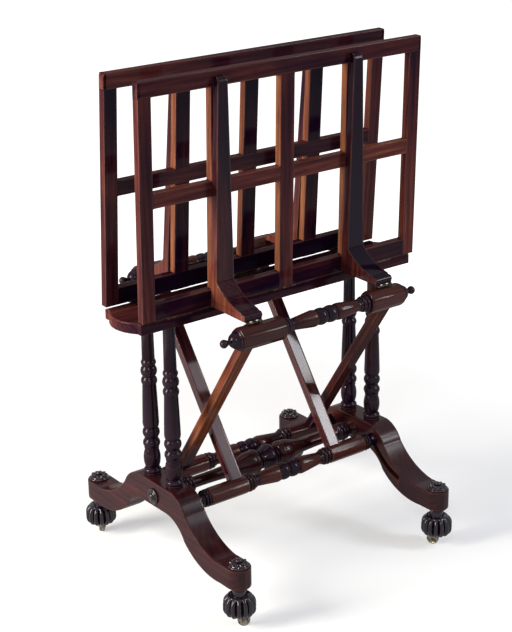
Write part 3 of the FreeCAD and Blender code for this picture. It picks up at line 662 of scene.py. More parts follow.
class Blank:
    """A mesh in the making, with the attributes that the wood finish reads.

    The blank's own Z runs along the grain until it is finished. Each blank is cut from another place in
    the wood, so that no two have the same figure.
    """

    count = 0
    next_place = (0.731, 0.377, 0.519)

    def __init__(self, tone: Tone, black_and_shade_runs: Iterable[Point] = (), lamp_lit: float = 0.0) -> None:
        """Starts an empty blank.

        Args:
            tone: The tone of its wood.
            black_and_shade_runs: The stretches along its Z that are painted black: turned rings, the front
                struts' lower ends, and painted shade at the arm tops.
            lamp_lit: How much painted side light its side faces get, up to 1.
        """
        self.bm = bmesh.new()
        self.tone = tone
        self.wear = self.bm.verts.layers.float.new("wear")
        self.black_and_shade_runs = list(black_and_shade_runs)
        self.lamp_lit = lamp_lit
        Blank.count += 1
        self.offset = Vector([step * Blank.count for step in self.next_place])

    def loop(self, points: Iterable[tuple[Vector, float]]) -> Ring:
        """Adds one ring of points.

        Args:
            points: Each point's place and wear.

        Returns:
            The ring.
        """
        ring = []
        for place, wear in points:
            vert = self.bm.verts.new(place)
            vert[self.wear] = wear
            ring.append(vert)
        return ring

    def skin(self, rings: Sequence[Ring]) -> None:
        """Joins rings with faces, and closes both ends.

        Args:
            rings: The rings, all of the same length.
        """
        for low, high in zip(rings, rings[1:]):
            for index in range(len(low)):
                after = (index + 1) % len(low)
                self.bm.faces.new((low[index], low[after], high[after], high[index]))
        self.bm.faces.new(rings[0][::-1])
        self.bm.faces.new(rings[-1])

    def lathe(
        self,
        profile: Sequence[Point],
        spokes: Sequence[float],
        trim: Callable[[float, float, float], float] | None = None,
    ) -> None:
        """Turns a profile about the blank's Z axis.

        Args:
            profile: Points as (place along, radius), from the lower end to the upper.
            spokes: The angles of the points of each ring, in degrees.
            trim: Gives the radius at a place, an angle and the turned radius, if it isn't round.
        """
        rings = []
        for index, (along, radius) in enumerate(profile):
            wear = self.turned_wear(profile, index)
            ring = []
            for spoke in spokes:
                reach = trim(along, spoke, radius) if trim else radius
                turn = math.radians(spoke)
                ring.append((Vector((reach * math.cos(turn), reach * math.sin(turn), along)), wear))
            rings.append(self.loop(ring))
        self.skin(rings)

    @staticmethod
    def turned_wear(profile: Sequence[Point], index: int) -> float:
        """Tells how far a point of a profile stands out.

        Args:
            profile: The profile.
            index: The point's number.

        Returns:
            Up to 1 on an edge, and down to -1 in a hollow.
        """
        full_turn = 0.9
        if index in (0, len(profile) - 1):
            return 0.0
        before = Vector(profile[index]) - Vector(profile[index - 1])
        after = Vector(profile[index + 1]) - Vector(profile[index])
        if before.length < TINY or after.length < TINY:
            return 0.0
        turn = math.atan2(before.x * after.y - before.y * after.x, before.dot(after))
        return min(1.0, max(-1.0, -turn / full_turn))

    def stick(self, cuts: Sequence[Cut], end: float = 1.0, nose: float = 0.0) -> None:
        """Builds a stick with rounded long edges and rounded ends.

        Args:
            cuts: Its sections in order along Z.
            end: How far its two ends are rounded.
            nose: How much further the left edge is rounded at both ends.
        """
        first, last = cuts[0], cuts[-1]
        rings = []
        if end > 0:
            reach = max(end, nose)
            for part, rise in self.rounding():
                rings.append(self.section(first, end * part, first.at + reach * rise, nose * part))
            rings += [self.section(cut) for cut in cuts[1:-1]]
            for part, rise in self.rounding()[::-1]:
                rings.append(self.section(last, end * part, last.at - reach * rise, nose * part))
        else:
            rings = [self.section(cut) for cut in cuts]
        self.skin(rings)

    @staticmethod
    def rounding() -> list[Point]:
        """The inset and the rise of each ring that rounds an end, from the outermost."""
        return [(0.75, 0.0), (0.3, 0.25), (0.07, 0.55), (0.0, 1.0)]

    def section(self, cut: Cut, inset: float = 0.0, at: float | None = None, nose: float = 0.0) -> Ring:
        """Adds one ring of a stick: a rectangle with a rounding and a short flat at each corner.

        Args:
            cut: The section.
            inset: How much smaller the ring is all round.
            at: Its place along the stick, if it isn't the section's own.
            nose: How much further its left edge is moved in.

        Returns:
            The ring.
        """
        left, right = cut.left + inset + nose, cut.right - inset
        low, high = cut.low + inset, cut.high - inset
        most_of_side, most_of_reach, flat_length, bulge = 0.46, 0.6, 2.4, 0.29
        reach = min(right - left, high - low) * most_of_side
        corner = min(cut.corner, reach * most_of_reach)
        flat = min(corner + flat_length, reach)
        near = corner * bulge
        place = cut.at if at is None else at
        corners = ((left, low, 1, 1), (right, low, -1, 1), (right, high, -1, -1), (left, high, 1, -1))
        ring = []
        for x, y, dx, dy in corners:
            steps = [(0, flat, 0.0), (0, corner, 0.5), (near, near, 1.0), (corner, 0, 0.5), (flat, 0, 0.0)]
            steps = steps if dx * dy > 0 else [(b, a, wear) for a, b, wear in steps]
            ring += [(Vector((x + dx * a, y + dy * b, place)), wear) for a, b, wear in steps]
        return self.loop(ring)

    def plate(self, outline: Sequence[Point], low: float, high: float, corner: float) -> None:
        """Builds a board from its outline, with rounded edges above and below.

        Args:
            outline: The plan, anticlockwise.
            low: The lower face.
            high: The upper face.
            corner: How far the edges are rounded.
        """
        part, flat = 0.3 * corner, corner + 2.5
        steps = [(flat, 0.0, 0.0), (corner, 0.0, 1.0), (part, part, 0.7), (0.0, corner, 0.0)]
        levels = [(inset, low + rise, wear) for inset, rise, wear in steps]
        levels += [(inset, high - rise, wear) for inset, rise, wear in steps[::-1]]
        rings = []
        for inset, level, wear in levels:
            rings.append(self.loop((Vector((*spot, level)), wear) for spot in self.shrink(outline, inset)))
        self.skin(rings)

    @staticmethod
    def shrink(outline: Sequence[Point], inset: float) -> list[Point]:
        """Moves a closed outline inward.

        Args:
            outline: The outline, anticlockwise.
            inset: How far it moves.

        Returns:
            The moved outline.
        """
        moved = []
        for index, point in enumerate(outline):
            here = Vector(point)
            before = (here - Vector(outline[index - 1])).normalized()
            after = (Vector(outline[(index + 1) % len(outline)]) - here).normalized()
            inward = Vector((-before.y - after.y, before.x + after.x)).normalized()
            reach = inset / max(0.5, inward.dot(Vector((-before.y, before.x))))
            moved.append(tuple(here + inward * reach))
        return moved

    def mesh(self, name: str, place: Matrix, finish: Material) -> Mesh:
        """Closes the blank and brings it to its place in metres.

        Args:
            name: The mesh's name.
            place: The blank's frame in the stand, in millimetres.
            finish: Its material.

        Returns:
            The finished mesh.
        """
        bm = self.bm
        merged = 0.004
        bmesh.ops.remove_doubles(bm, verts=bm.verts, dist=merged)
        bmesh.ops.dissolve_degenerate(bm, edges=bm.edges, dist=merged / 2)
        grain = bm.verts.layers.float_vector.new("grain")
        tone = bm.verts.layers.float.new("tone")
        bm.normal_update()
        for vert in bm.verts:
            vert[grain] = Vector((vert.co.z, vert.co.x, vert.co.y)) * MM + self.offset
            # painted black runs: turned rings, the front struts' lower ends, and painted shade at the arm
            # tops
            dark = any(low < vert.co.z < high for low, high in self.black_and_shade_runs)
            vert[tone] = Tone.BLACK_AND_SHADE.value if dark else self.tone_of(vert.normal)
        bmesh.ops.transform(bm, matrix=Matrix.Scale(MM, 4) @ place, verts=bm.verts)
        bmesh.ops.recalc_face_normals(bm, faces=bm.faces)
        mesh = bpy.data.meshes.new(name)
        bm.to_mesh(mesh)
        bm.free()
        mesh.polygons.foreach_set("use_smooth", [True] * len(mesh.polygons))
        mesh.set_sharp_from_angle(angle=SMOOTH_BELOW)
        mesh.materials.append(finish)
        return mesh

    def tone_of(self, normal: Vector) -> float:
        """Finds the tone of a point; painted side light makes it paler on the blank's two side faces.

        Args:
            normal: The way that it faces, in the blank's own frame: the side faces look along X.

        Returns:
            Its tone.
        """
        # painted side light: side faces get a tone below 0, which the finish paints paler and golden
        side_lit, square_on = -0.2, 0.7
        sideways = self.lamp_lit * max(0.0, abs(normal.x) - square_on) / (1.0 - square_on)
        return self.tone.value * (1.0 - sideways) + side_lit * sideways


def put(name: str, data: bpy.types.ID) -> Object:
    """Adds an object to the scene.

    Args:
        name: The object's name.
        data: Its mesh, light or camera.

    Returns:
        The object.
    """
    thing = bpy.data.objects.new(name, data)
    bpy.context.scene.collection.objects.link(thing)
    return thing


def settled(carrier: Object, name: str) -> Mesh:
    """Turns an object's modified shape into a plain mesh, and removes the object.

    Args:
        carrier: The object with its modifiers.
        name: The mesh's name.

    Returns:
        The mesh.
    """
    graph = bpy.context.evaluated_depsgraph_get()
    shape = carrier.evaluated_get(graph)
    made = bpy.data.meshes.new_from_object(shape, preserve_all_data_layers=True, depsgraph=graph)
    made.name = name
    carrier.modifiers.clear()
    bpy.data.objects.remove(carrier)
    return made


def show(mesh: Mesh, body: str, nodes: Sequence[str] = ()) -> Object:
    """Puts a finished mesh into the scene as a piece of one body.

    Args:
        mesh: The mesh, in place.
        body: The CAD body that the piece rides on.
        nodes: The CAD nodes that it stands for.

    Returns:
        The piece.
    """
    piece = put(mesh.name, mesh)
    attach(piece, body)
    if nodes:
        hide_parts(*nodes)
    return piece


def even(count: int) -> list[float]:
    """Evenly spaced angles of a full turn, in degrees."""
    return [360.0 * index / count for index in range(count)]


# ---------------------------------------------------------------- rules in geometry nodes


class Rule:
    """A geometry node tree with named inputs, run once on a mesh."""

    def __init__(self, name: str, inputs: dict[str, tuple[str, object]]) -> None:
        """Starts the tree.

        Args:
            name: The tree's name.
            inputs: For each named input, its socket type and its value.
        """
        self.tree = bpy.data.node_groups.new(name, "GeometryNodeTree")
        self.bench = Bench(self.tree)
        face = self.tree.interface
        face.new_socket("Geometry", in_out="INPUT", socket_type="NodeSocketGeometry")
        self.values = {}
        for key, (kind, value) in inputs.items():
            socket = face.new_socket(key, in_out="INPUT", socket_type=kind)
            self.values[socket.identifier] = value
        face.new_socket("Geometry", in_out="OUTPUT", socket_type="NodeSocketGeometry")
        self.given = self.bench.add("NodeGroupInput").outputs
        self.result = self.bench.add("NodeGroupOutput")

    def close(self, geometry: Socket) -> None:
        """Ends the tree with real geometry and its material.

        Args:
            geometry: What the rule has made.
        """
        real = self.bench.add("GeometryNodeRealizeInstances", {"Geometry": geometry})
        inputs = {"Geometry": real.outputs[0], "Material": self.given["Material"]}
        dressed = self.bench.add("GeometryNodeSetMaterial", inputs)
        self.tree.links.new(dressed.outputs[0], self.result.inputs[0])

    def run(self, mesh: Mesh, name: str) -> Mesh:
        """Runs the tree.

        Args:
            mesh: The mesh that it works on.
            name: The name of the result.

        Returns:
            The result as a plain mesh.
        """
        carrier = put(name + "_carrier", mesh)
        modifier = carrier.modifiers.new("rule", "NODES")
        modifier.node_group = self.tree
        for identifier, value in self.values.items():
            modifier[identifier] = value
        return settled(carrier, name)


def gadroon_rule(lobes: int, depth: float, low: float, high: float, finish: Material) -> Rule:
    """A rule that carves upright lobes into a turned bun.

    Args:
        lobes: How many lobes go round.
        depth: The depth of the grooves between them, in metres.
        low: Where the grooves start.
        high: Where they run out.
        finish: The bun's material.

    Returns:
        The rule.
    """
    inputs = {
        "Lobes": ("NodeSocketInt", lobes),
        "Depth": ("NodeSocketFloat", depth),
        "Low": ("NodeSocketFloat", low),
        "High": ("NodeSocketFloat", high),
        "Material": ("NodeSocketMaterial", finish),
    }
    rule = Rule("gadroons", inputs)
    bench, given = rule.bench, rule.given
    place = bench.add("GeometryNodeInputPosition").outputs[0]
    split = bench.add("ShaderNodeSeparateXYZ", {0: place}).outputs
    turn = bench.sum("ARCTAN2", split[1], split[0])
    wave = bench.sum("COSINE", bench.sum("MULTIPLY", turn, bench.sum("MULTIPLY", given["Lobes"], 0.5)))
    groove = bench.sum("SUBTRACT", 1.0, bench.sum("ABSOLUTE", wave))
    above = bench.sum("SUBTRACT", split[2], given["Low"])
    rise = bench.sum("DIVIDE", above, bench.sum("SUBTRACT", given["High"], given["Low"]))
    run_in, run_out = 0.02, 0.82
    start = bench.span(rise, 0.0, run_in, 0.0, 1.0)
    fade = bench.span(rise, run_out, 1.0, 1.0, 0.0)
    share = bench.sum("MULTIPLY", groove, start)
    amount = bench.sum("MULTIPLY", share, bench.sum("MULTIPLY", fade, given["Depth"]))
    flat = bench.add("ShaderNodeCombineXYZ", {0: split[0], 1: split[1]}).outputs[0]
    out = bench.add("ShaderNodeVectorMath", {0: flat}, operation="NORMALIZE").outputs[0]
    back = bench.sum("MULTIPLY", amount, -1.0)
    inward = bench.add("ShaderNodeVectorMath", {0: out, "Scale": back}, operation="SCALE").outputs[0]
    # the grooves' depth is stored as negative wear, which the finish paints as shade in the hollows
    sunk = bench.sum("MULTIPLY", bench.sum("DIVIDE", amount, given["Depth"]), -1.0)
    stored = {"Geometry": given["Geometry"], "Name": "wear", "Value": sunk}
    hollow_shade_marks = bench.add("GeometryNodeStoreNamedAttribute", stored)
    moved = bench.add("GeometryNodeSetPosition", {"Geometry": hollow_shade_marks.outputs[0], "Offset": inward})
    rule.close(moved.outputs[0])
    return rule


def ring_rule(count: int, finish: Material) -> Rule:
    """A rule that repeats a shape evenly about the Z axis.

    Args:
        count: How many there are.
        finish: Their material.

    Returns:
        The rule.
    """
    inputs = {"Count": ("NodeSocketInt", count), "Material": ("NodeSocketMaterial", finish)}
    rule = Rule("round_the_axis", inputs)
    bench, given = rule.bench, rule.given
    line = bench.add("GeometryNodeMeshLine", {"Count": given["Count"], "Offset": (0.0, 0.0, 0.0)})
    index = bench.add("GeometryNodeInputIndex").outputs[0]
    turn = bench.sum("DIVIDE", bench.sum("MULTIPLY", index, math.tau), given["Count"])
    about = bench.add("ShaderNodeCombineXYZ", {2: turn}).outputs[0]
    spread = {"Points": line.outputs[0], "Instance": given["Geometry"], "Rotation": about}
    rule.close(bench.add("GeometryNodeInstanceOnPoints", spread).outputs[0])
    return rule


def screw_rule(radius: float, rise: float, finish: Material) -> Rule:
    """A rule that sets a slotted screw head on every point of a mesh, along its facing attribute.

    Args:
        radius: The head's radius, in metres.
        rise: How far it stands up.
        finish: Its material.

    Returns:
        The rule.
    """
    inputs = {
        "Radius": ("NodeSocketFloat", radius),
        "Rise": ("NodeSocketFloat", rise),
        "Material": ("NodeSocketMaterial", finish),
    }
    rule = Rule("screw_heads", inputs)
    bench, given = rule.bench, rule.given
    top, long, wide = (bench.sum("MULTIPLY", given["Radius"], share) for share in (0.82, 1.5, 0.2))
    cone = {"Vertices": 18, "Radius Top": top, "Radius Bottom": given["Radius"], "Depth": given["Rise"]}
    head = bench.add("GeometryNodeMeshCone", cone).outputs[0]
    size = bench.add("ShaderNodeCombineXYZ", {0: long, 1: wide, 2: given["Rise"]}).outputs[0]
    nick = bench.add("GeometryNodeMeshCube", {"Size": size}).outputs[0]
    lift = bench.add("ShaderNodeCombineXYZ", {2: bench.sum("MULTIPLY", given["Rise"], 1.1)}).outputs[0]
    nick = bench.add("GeometryNodeTransform", {"Geometry": nick, "Translation": lift}).outputs[0]
    both = {"Mesh 1": head, "Mesh 2": nick}
    cut = bench.add("GeometryNodeMeshBoolean", both, operation="DIFFERENCE").outputs[0]
    stored = bench.add("GeometryNodeInputNamedAttribute", {"Name": "facing"}, data_type="FLOAT_VECTOR")
    facing = {"Vector": stored.outputs[0]}
    upright = bench.add("FunctionNodeAlignRotationToVector", facing, axis="Z").outputs[0]
    spread = {"Points": given["Geometry"], "Instance": cut, "Rotation": upright}
    rule.close(bench.add("GeometryNodeInstanceOnPoints", spread).outputs[0])
    return rule


# ---------------------------------------------------------------- trestle ends


@dataclass
class TrestleEnd:
    """A hog-back board with round toe blocks and the tracks of the two lower bars."""

    palette: Palette
    hand: Hand
    reach: float = 269.0
    half_thickness: float = 26.0
    toe_reach: float = 253.0
    toe_flat: float = 0.07
    track_width: float = 12.8
    track_depth: float = 11.0
    track_chord: float = 3.0
    proud: float = 4.0
    edge: float = 2.0
    chord: float = 4.0
    top: tuple[Corner, ...] = (
        (0.0, 227.0), (62.0, 227.0), (109.0, 191.0, 91.0, 214.0), (210.0, 133.0, 148.0, 156.0),
        (232.0, 133.6), (279.0, 133.6),
    )
    under: tuple[Corner, ...] = (
        (0.0, 172.0), (44.0, 172.0), (106.0, 132.0, 80.0, 160.0), (225.0, 91.0, 168.0, 96.0), (279.0, 91.0),
    )
    tracks: tuple[tuple[Point, Point, Point], ...] = (
        ((66.39, 198.56), (101.54, 159.79), (159.51, 133.24)),
        ((-72.22, 196.0), (-103.01, 159.16), (-154.78, 131.79)),
    )

    def board(self) -> Mesh:
        """The shaped board, lofted from end to end.

        Returns:
            Its mesh, in place.
        """
        upper, lower = trace(self.top, self.chord), trace(self.under, self.chord)
        toe, round_toe = self.toe_reach, self.half_thickness
        places = {round(y, 2) for y, _ in upper + lower if y <= toe}
        places |= {toe + round_toe * math.sin(math.radians(turn)) for turn in range(0, 90, 9)}
        places.add(toe + round_toe - self.toe_flat)
        blank = Blank(Tone.PLAIN)
        rings = []
        for place in sorted({-p for p in places} | places):
            past = max(0.0, abs(place) - toe)
            half = math.sqrt(max(round_toe**2 - past**2, 0.0))
            high, low = height_at(upper, abs(place)), height_at(lower, abs(place))
            rings.append(blank.section(Cut(place, -half, half, -high, -low, self.edge)))
        blank.skin(rings)
        place = placed(self.hand.value * self.reach) @ ALONG_Y
        return blank.mesh(f"{self.hand.word}_trestle_board", place, self.palette.get(self.palette.board))

    def cutter(self, track: tuple[Point, Point, Point]) -> Object:
        """Builds a solid the shape of one track, for cutting.

        Args:
            track: The start, a middle point and the end of the track's middle line.

        Returns:
            The solid, which stands a little proud of the board.
        """
        line = [track[0], *arc(*track, self.track_chord)]
        half = self.track_width / 2
        near: list[Point] = []
        far: list[Point] = []
        for index, (y, z) in enumerate(line):
            ahead = Vector(line[min(index + 1, len(line) - 1)]) - Vector(line[max(index - 1, 0)])
            across = Vector((-ahead.y, ahead.x)).normalized() * half
            near.append((y + across.x, z + across.y))
            far.append((y - across.x, z - across.y))
        outline = [*near, *self.round_end(line[-1], near[-1]), *far[::-1], *self.round_end(line[0], far[0])]
        inner = self.reach - self.half_thickness
        bm = bmesh.new()
        ends = []
        for reach in (inner - self.proud, inner + self.track_depth):
            place = self.hand.value * reach
            ends.append([bm.verts.new(Vector((place, y, z)) * MM) for y, z in outline])
        bm.faces.new(ends[0])
        bm.faces.new(ends[1])
        for index in range(len(outline)):
            after = (index + 1) % len(outline)
            bm.faces.new((ends[0][index], ends[0][after], ends[1][after], ends[1][index]))
        bmesh.ops.recalc_face_normals(bm, faces=bm.faces)
        mesh = bpy.data.meshes.new("track_cutter")
        bm.to_mesh(mesh)
        bm.free()
        return put("track_cutter", mesh)

    @staticmethod
    def round_end(centre: Point, start: Point) -> list[Point]:
        """Rounds one end of a track.

        Args:
            centre: The end of the track's middle line.
            start: Where one side of the track ends.

        Returns:
            The points between there and the other side.
        """
        spoke = Vector(start) - Vector(centre)
        count = 8
        turns = [math.radians(-180.0 * step / count) for step in range(1, count)]
        return [tuple(Vector(centre) + Matrix.Rotation(turn, 2) @ spoke) for turn in turns]

    def build(self) -> Object:
        """Builds the board with its tracks.

        Returns:
            The piece.
        """
        mesh = self.board()
        carrier = put("trestle_carrier", mesh)
        cutters = [self.cutter(track) for track in self.tracks]
        for cutter in cutters:
            cut = carrier.modifiers.new("track", "BOOLEAN")
            cut.object = cutter
            cut.operation = "DIFFERENCE"
            cut.solver = "EXACT"
        made = settled(carrier, mesh.name)
        for spent in cutters:
            bpy.data.objects.remove(spent)
        made.set_sharp_from_angle(angle=SMOOTH_BELOW)
        return show(made, STAND, [f"{self.hand.word}_trestle"])


@dataclass
class Column:
    """A turned column from the trestle end to the platform."""

    palette: Palette
    hand: Hand
    side: Side
    reach: float = 269.0
    spacing: float = 39.0
    foot: float = 227.0
    height: float = 353.5
    radius: float = 18.0
    chord: float = 1.2
    eased: float = 0.5
    spokes: int = 48
    ring_groups: tuple[Point, ...] = ((-0.01, 0.046), (0.162, 0.327), (0.57, 0.722))

    def profile(self) -> list[Point]:
        """Draws the turning, in shares of the column's height and radius.

        Returns:
            Its points from the foot up, as places along and radii in millimetres.
        """
        shares: list[Corner] = [(0.0, 0.98), (0.011, 0.98), (0.012, 0.9), (0.038, 0.9, 0.025, 1.02)]
        shares += [(0.044, 0.77), (0.161, 0.78, 0.096, 0.985), (0.165, 0.86), (0.178, 0.86), (0.18, 0.88)]
        shares += [(0.218, 0.88, 0.199, 1.0), (0.225, 0.77), (0.24, 0.8), (0.294, 0.8, 0.267, 1.0)]
        shares += [(0.3, 0.79), (0.306, 0.9), (0.325, 0.96), (0.45, 0.884), (0.566, 0.8), (0.572, 0.82)]
        shares += [(0.61, 0.82, 0.591, 0.93), (0.617, 0.73), (0.625, 0.78), (0.679, 0.78, 0.652, 0.95)]
        shares += [(0.683, 0.75), (0.69, 0.78), (0.718, 0.78, 0.704, 0.87), (0.724, 0.735), (1.0, 0.68)]
        return ease(trace(sized(shares, self.height, self.radius), self.chord), self.eased)

    def build(self) -> Object:
        """Builds the column.

        Returns:
            The piece.
        """
        rings = [(low * self.height, high * self.height) for low, high in self.ring_groups]
        # painted shade: the back columns are painted darker than the front ones
        blank = Blank(Tone.BLACK if self.side is Side.BACK else Tone.PURPLE, rings)
        blank.lathe(self.profile(), even(self.spokes))
        place = placed(self.hand.value * self.reach, self.side.sign * self.spacing, self.foot)
        name = f"{self.side.word}_{self.hand.word}_column"
        mesh = blank.mesh(name + "_turning", place, self.palette.get(self.palette.turned))
        return show(mesh, STAND, [name])


@dataclass
class Stretcher:
    """The central stretcher with its big bead, its two vases and the bosses outside."""

    palette: Palette
    height: float = 196.0
    half_length: float = 243.0
    outer_face: float = 295.0
    chord: float = 1.6
    eased: float = 0.6
    spokes: int = 64
    boss_chord: float = 0.7
    boss_eased: float = 0.3
    boss_spokes: int = 48
    ring_groups: tuple[Point, ...] = ((-24.5, 24.5), (195.0, 224.0), (-224.0, -195.0))

    def stretcher(self) -> Object:
        """Turns the stretcher.

        Returns:
            The piece.
        """
        half: list[Corner] = [(0.0, 28.5), (16.5, 19.0, 10.5, 26.4), (17.0, 18.0), (18.0, 18.0), (18.5, 19.5)]
        half += [(22.5, 19.5, 20.5, 21.5), (23.0, 17.6), (24.4, 17.6), (41.0, 26.0, 28.6, 24.2)]
        half += [(66.0, 22.4, 54.0, 25.4), (98.0, 15.0, 82.0, 18.2), (196.0, 12.5, 146.0, 12.8)]
        half += [(196.6, 15.2), (199.0, 16.0), (207.0, 16.0, 203.0, 19.5), (207.4, 14.6), (208.0, 15.0)]
        half += [(215.0, 15.0, 211.0, 20.5), (215.4, 14.4), (216.0, 15.6), (223.0, 16.0, 219.0, 19.5)]
        half += [(226.0, 14.4), (234.0, 15.0, 230.0, 14.0), (self.half_length, 19.0)]
        corners = mirror(half)[:-1] + half
        blank = Blank(Tone.WARM, self.ring_groups)
        blank.lathe(ease(trace(corners, self.chord), self.eased), even(self.spokes))
        place = placed(z=self.height) @ ALONG_X
        mesh = blank.mesh("central_stretcher_turning", place, self.palette.get(self.palette.turned))
        return show(mesh, STAND, ["central_stretcher"])

    def boss(self, hand: Hand) -> Object:
        """Turns the boss on one trestle end.

        Args:
            hand: Which end.

        Returns:
            The piece.
        """
        profile: list[Corner] = [(0.0, 17.0), (1.6, 17.0), (4.6, 14.4, 3.8, 16.4), (3.9, 12.6), (4.4, 11.6)]
        profile += [(5.2, 9.4, 6.1, 10.6), (4.6, 8.0), (5.4, 7.2), (9.6, 3.2, 8.2, 6.0), (10.0, 0.4)]
        blank = Blank(Tone.BLACK)
        outline = ease(trace(profile, self.boss_chord), self.boss_eased)
        blank.lathe(outline, even(self.boss_spokes))
        turn = Matrix.Rotation(math.radians(90.0 * hand.value), 4, "Y")
        place = placed(hand.value * self.outer_face, 0.0, self.height) @ turn
        mesh = blank.mesh(f"{hand.word}_stretcher_boss", place, self.palette.get(self.palette.carved))
        return show(mesh, STAND, ["stretcher_bosses"])


# ---------------------------------------------------------------- platform and leaves


@dataclass
class Platform:
    """The board under the leaves, its ends bowed between small square corners."""

    palette: Palette
    half_length: float = 350.0
    half_depth: float = 64.0
    corner: float = 14.0
    bow: float = 18.0
    top: float = 602.5
    thickness: float = 22.0
    edge: float = 1.8
    chord: float = 3.0

    def build(self) -> Object:
        """Builds the board.

        Returns:
            The piece.
        """
        end, side = self.half_length, self.half_depth
        inner = side - self.corner
        bow = end + self.bow
        corners = [(-end, -side), (end, -side), (end, -inner), (end, inner, bow, 0.0), (end, side)]
        corners += [(-end, side), (-end, inner), (-end, -inner, -bow, 0.0)]
        plan = trace(corners, self.chord)
        blank = Blank(Tone.PURPLE)
        blank.plate(plan, self.top - self.thickness, self.top, self.edge)
        for vert in blank.bm.verts:
            vert.co = Vector((-vert.co.z, vert.co.y, vert.co.x))
        mesh = blank.mesh("platform_board", ALONG_X, self.palette.get(self.palette.wood))
        return show(mesh, STAND, ["platform"])


@dataclass
class Leaf:
    """An open leaf of five uprights and three rails, halved together, and its two arms."""

    palette: Palette
    side: Side
    lean: float
    hinge_reach: float = 67.0
    hinge_height: float = 604.2
    half_length: float = 352.0
    low: float = 3.0
    high: float = 477.0
    face: float = -7.0
    lap: float = 1.5
    back: float = 10.0
    shoulder: float = 5.0
    edge: float = 1.3
    tip: float = 1.6
    crown: float = 6.0
    sharp: float = 0.12
    sliver: float = 0.5
    stile: float = 30.0
    muntin: float = 35.0
    arm_reach: float = 169.0
    rails: tuple[tuple[str, float, float], ...] = (
        ("bottom_rail", 3.0, 40.0), ("middle_rail", 230.5, 261.5), ("top_rail", 445.0, 477.0),
    )

    def frame(self) -> Matrix:
        """The leaf's frame: its origin on the hinge axis and -Y pointing outward."""
        return placed(0.0, self.side.sign * self.hinge_reach, self.hinge_height, self.side.value, self.lean)

    def uprights(self) -> list[tuple[str, float, float]]:
        """Lays the uprights out.

        Returns:
            Their names and both edges along X, from one end to the other.
        """
        half = self.muntin / 2
        end = self.half_length
        return [
            (self.named("left", "stile"), -end, self.stile - end),
            (self.named("left", "muntin"), -self.arm_reach - half, half - self.arm_reach),
            ("centre_muntin", -half, half),
            (self.named("right", "muntin"), self.arm_reach - half, self.arm_reach + half),
            (self.named("right", "stile"), end - self.stile, end),
        ]

    def named(self, word: str, kind: str) -> str:
        """A member's name: left and right are the stand's own, also on the turned back leaf."""
        swap = {"left": "right", "right": "left"} if self.side is Side.BACK else {}
        return f"{swap.get(word, word)}_{kind}"

    def spans(self, run: Point, crossings: Sequence[Crossing]) -> list[tuple[float, float, Lap | None]]:
        """Splits a member at its crossings.

        Args:
            run: Where the member begins and ends.
            crossings: The members that it crosses, in order.

        Returns:
            Each stretch as its two ends and what the member keeps there, or None where it is whole.
        """
        pieces: list[tuple[float, float, Lap | None]] = []
        place, end = run
        for low, high, lap in crossings:
            if low - place > self.sliver:
                pieces.append((place, low, None))
            pieces.append((low, high, lap))
            place = high
        if end - place > self.sliver:
            pieces.append((place, end, None))
        return pieces

    def kept(self, lap: Lap) -> Point:
        """Finds what a member keeps inside a crossing.

        Args:
            lap: How it is cut there.

        Returns:
            Its two faces.
        """
        if lap is Lap.TENON:
            return self.face + self.shoulder, self.back - self.shoulder
        return (self.face, self.lap) if lap is Lap.OUTER else (self.lap, self.back)

    def member(
        self, name: str, edges: Point, run: Point, crossings: Sequence[Crossing], place: Matrix, tone: Tone
    ) -> Object:
        """Builds one upright or rail.

        Args:
            name: Its name on the leaf.
            edges: Its two edges across.
            run: Its two ends along.
            crossings: The members that it crosses.
            place: The frame whose Z runs along the member.
            tone: The tone of its wood.

        Returns:
            The piece.
        """
        cuts: list[Cut] = []
        (left, right), edge, sharp = edges, self.edge, self.sharp
        for start, end, lap in self.spans(run, crossings):
            if lap is None:
                steps = ((start, sharp), (start + edge, edge), (end - edge, edge), (end, sharp))
                cuts += [Cut(at, left, right, self.face, self.back, corner) for at, corner in steps]
                continue
            inset = self.shoulder if lap is Lap.TENON else 0.0
            cuts += [Cut(at, left + inset, right - inset, *self.kept(lap), sharp) for at in (start, end)]
        # painted side light on the member's side faces, strongest on the muntins
        blank = Blank(tone, lamp_lit=SideLight[name.rsplit("_", 1)[-1].upper()].value)
        top = name == "top_rail"
        blank.stick(cuts, self.tip / 2 if top else self.tip, self.crown if top else 0.0)
        full = f"{self.side.word}_leaf_{name}"
        mesh = blank.mesh(full + "_bar", self.frame() @ place, self.palette.get(self.palette.wood))
        return show(mesh, f"{self.side.word}_leaf", [full])

    def rail_tone(self, name: str) -> Tone:
        """Picks the tone of a rail: dark for the bottom one, as painted shade, plain for the front leaf's
        middle one.

        Args:
            name: The rail.

        Returns:
            Its tone.
        """
        if name == "bottom_rail":
            return Tone.BLACK
        return Tone.PLAIN if self.side is Side.FRONT and name == "middle_rail" else Tone.PURPLE

    def build(self) -> list[Object]:
        """Builds the leaf's members and arms.

        Returns:
            The pieces.
        """
        uprights = self.uprights()
        lapped = [(low, high, Lap.OUTER) for _, low, high in self.rails[:-1]]
        top = (self.rails[-1][1], self.high - self.shoulder, Lap.TENON)
        end, hidden = self.half_length, self.half_length - self.shoulder
        # painted shade: the back leaf's uprights are painted darker than the front leaf's
        tone = Tone.PURPLE if self.side is Side.FRONT else Tone.BLACK
        run = (self.low, self.high - self.shoulder)
        pieces = []
        for name, left, right in uprights:
            crossings = [*lapped, top] if "muntin" in name else [top]
            pieces.append(self.member(name, (left, right), run, crossings, Matrix(), tone))
        crossings = [(left, right, Lap.INNER) for _, left, right in uprights]
        crossings[0] = (-hidden, self.stile - end, Lap.TENON)
        crossings[-1] = (end - self.stile, hidden, Lap.TENON)
        for name, low, high in self.rails:
            whole = name == "top_rail"
            run, crossed = ((-end, end), []) if whole else ((-hidden, hidden), crossings)
            pieces.append(self.member(name, (-high, -low), run, crossed, ALONG_X, self.rail_tone(name)))
        pieces += [Arm(self.palette, self, hand).build() for hand in Hand]
        return pieces


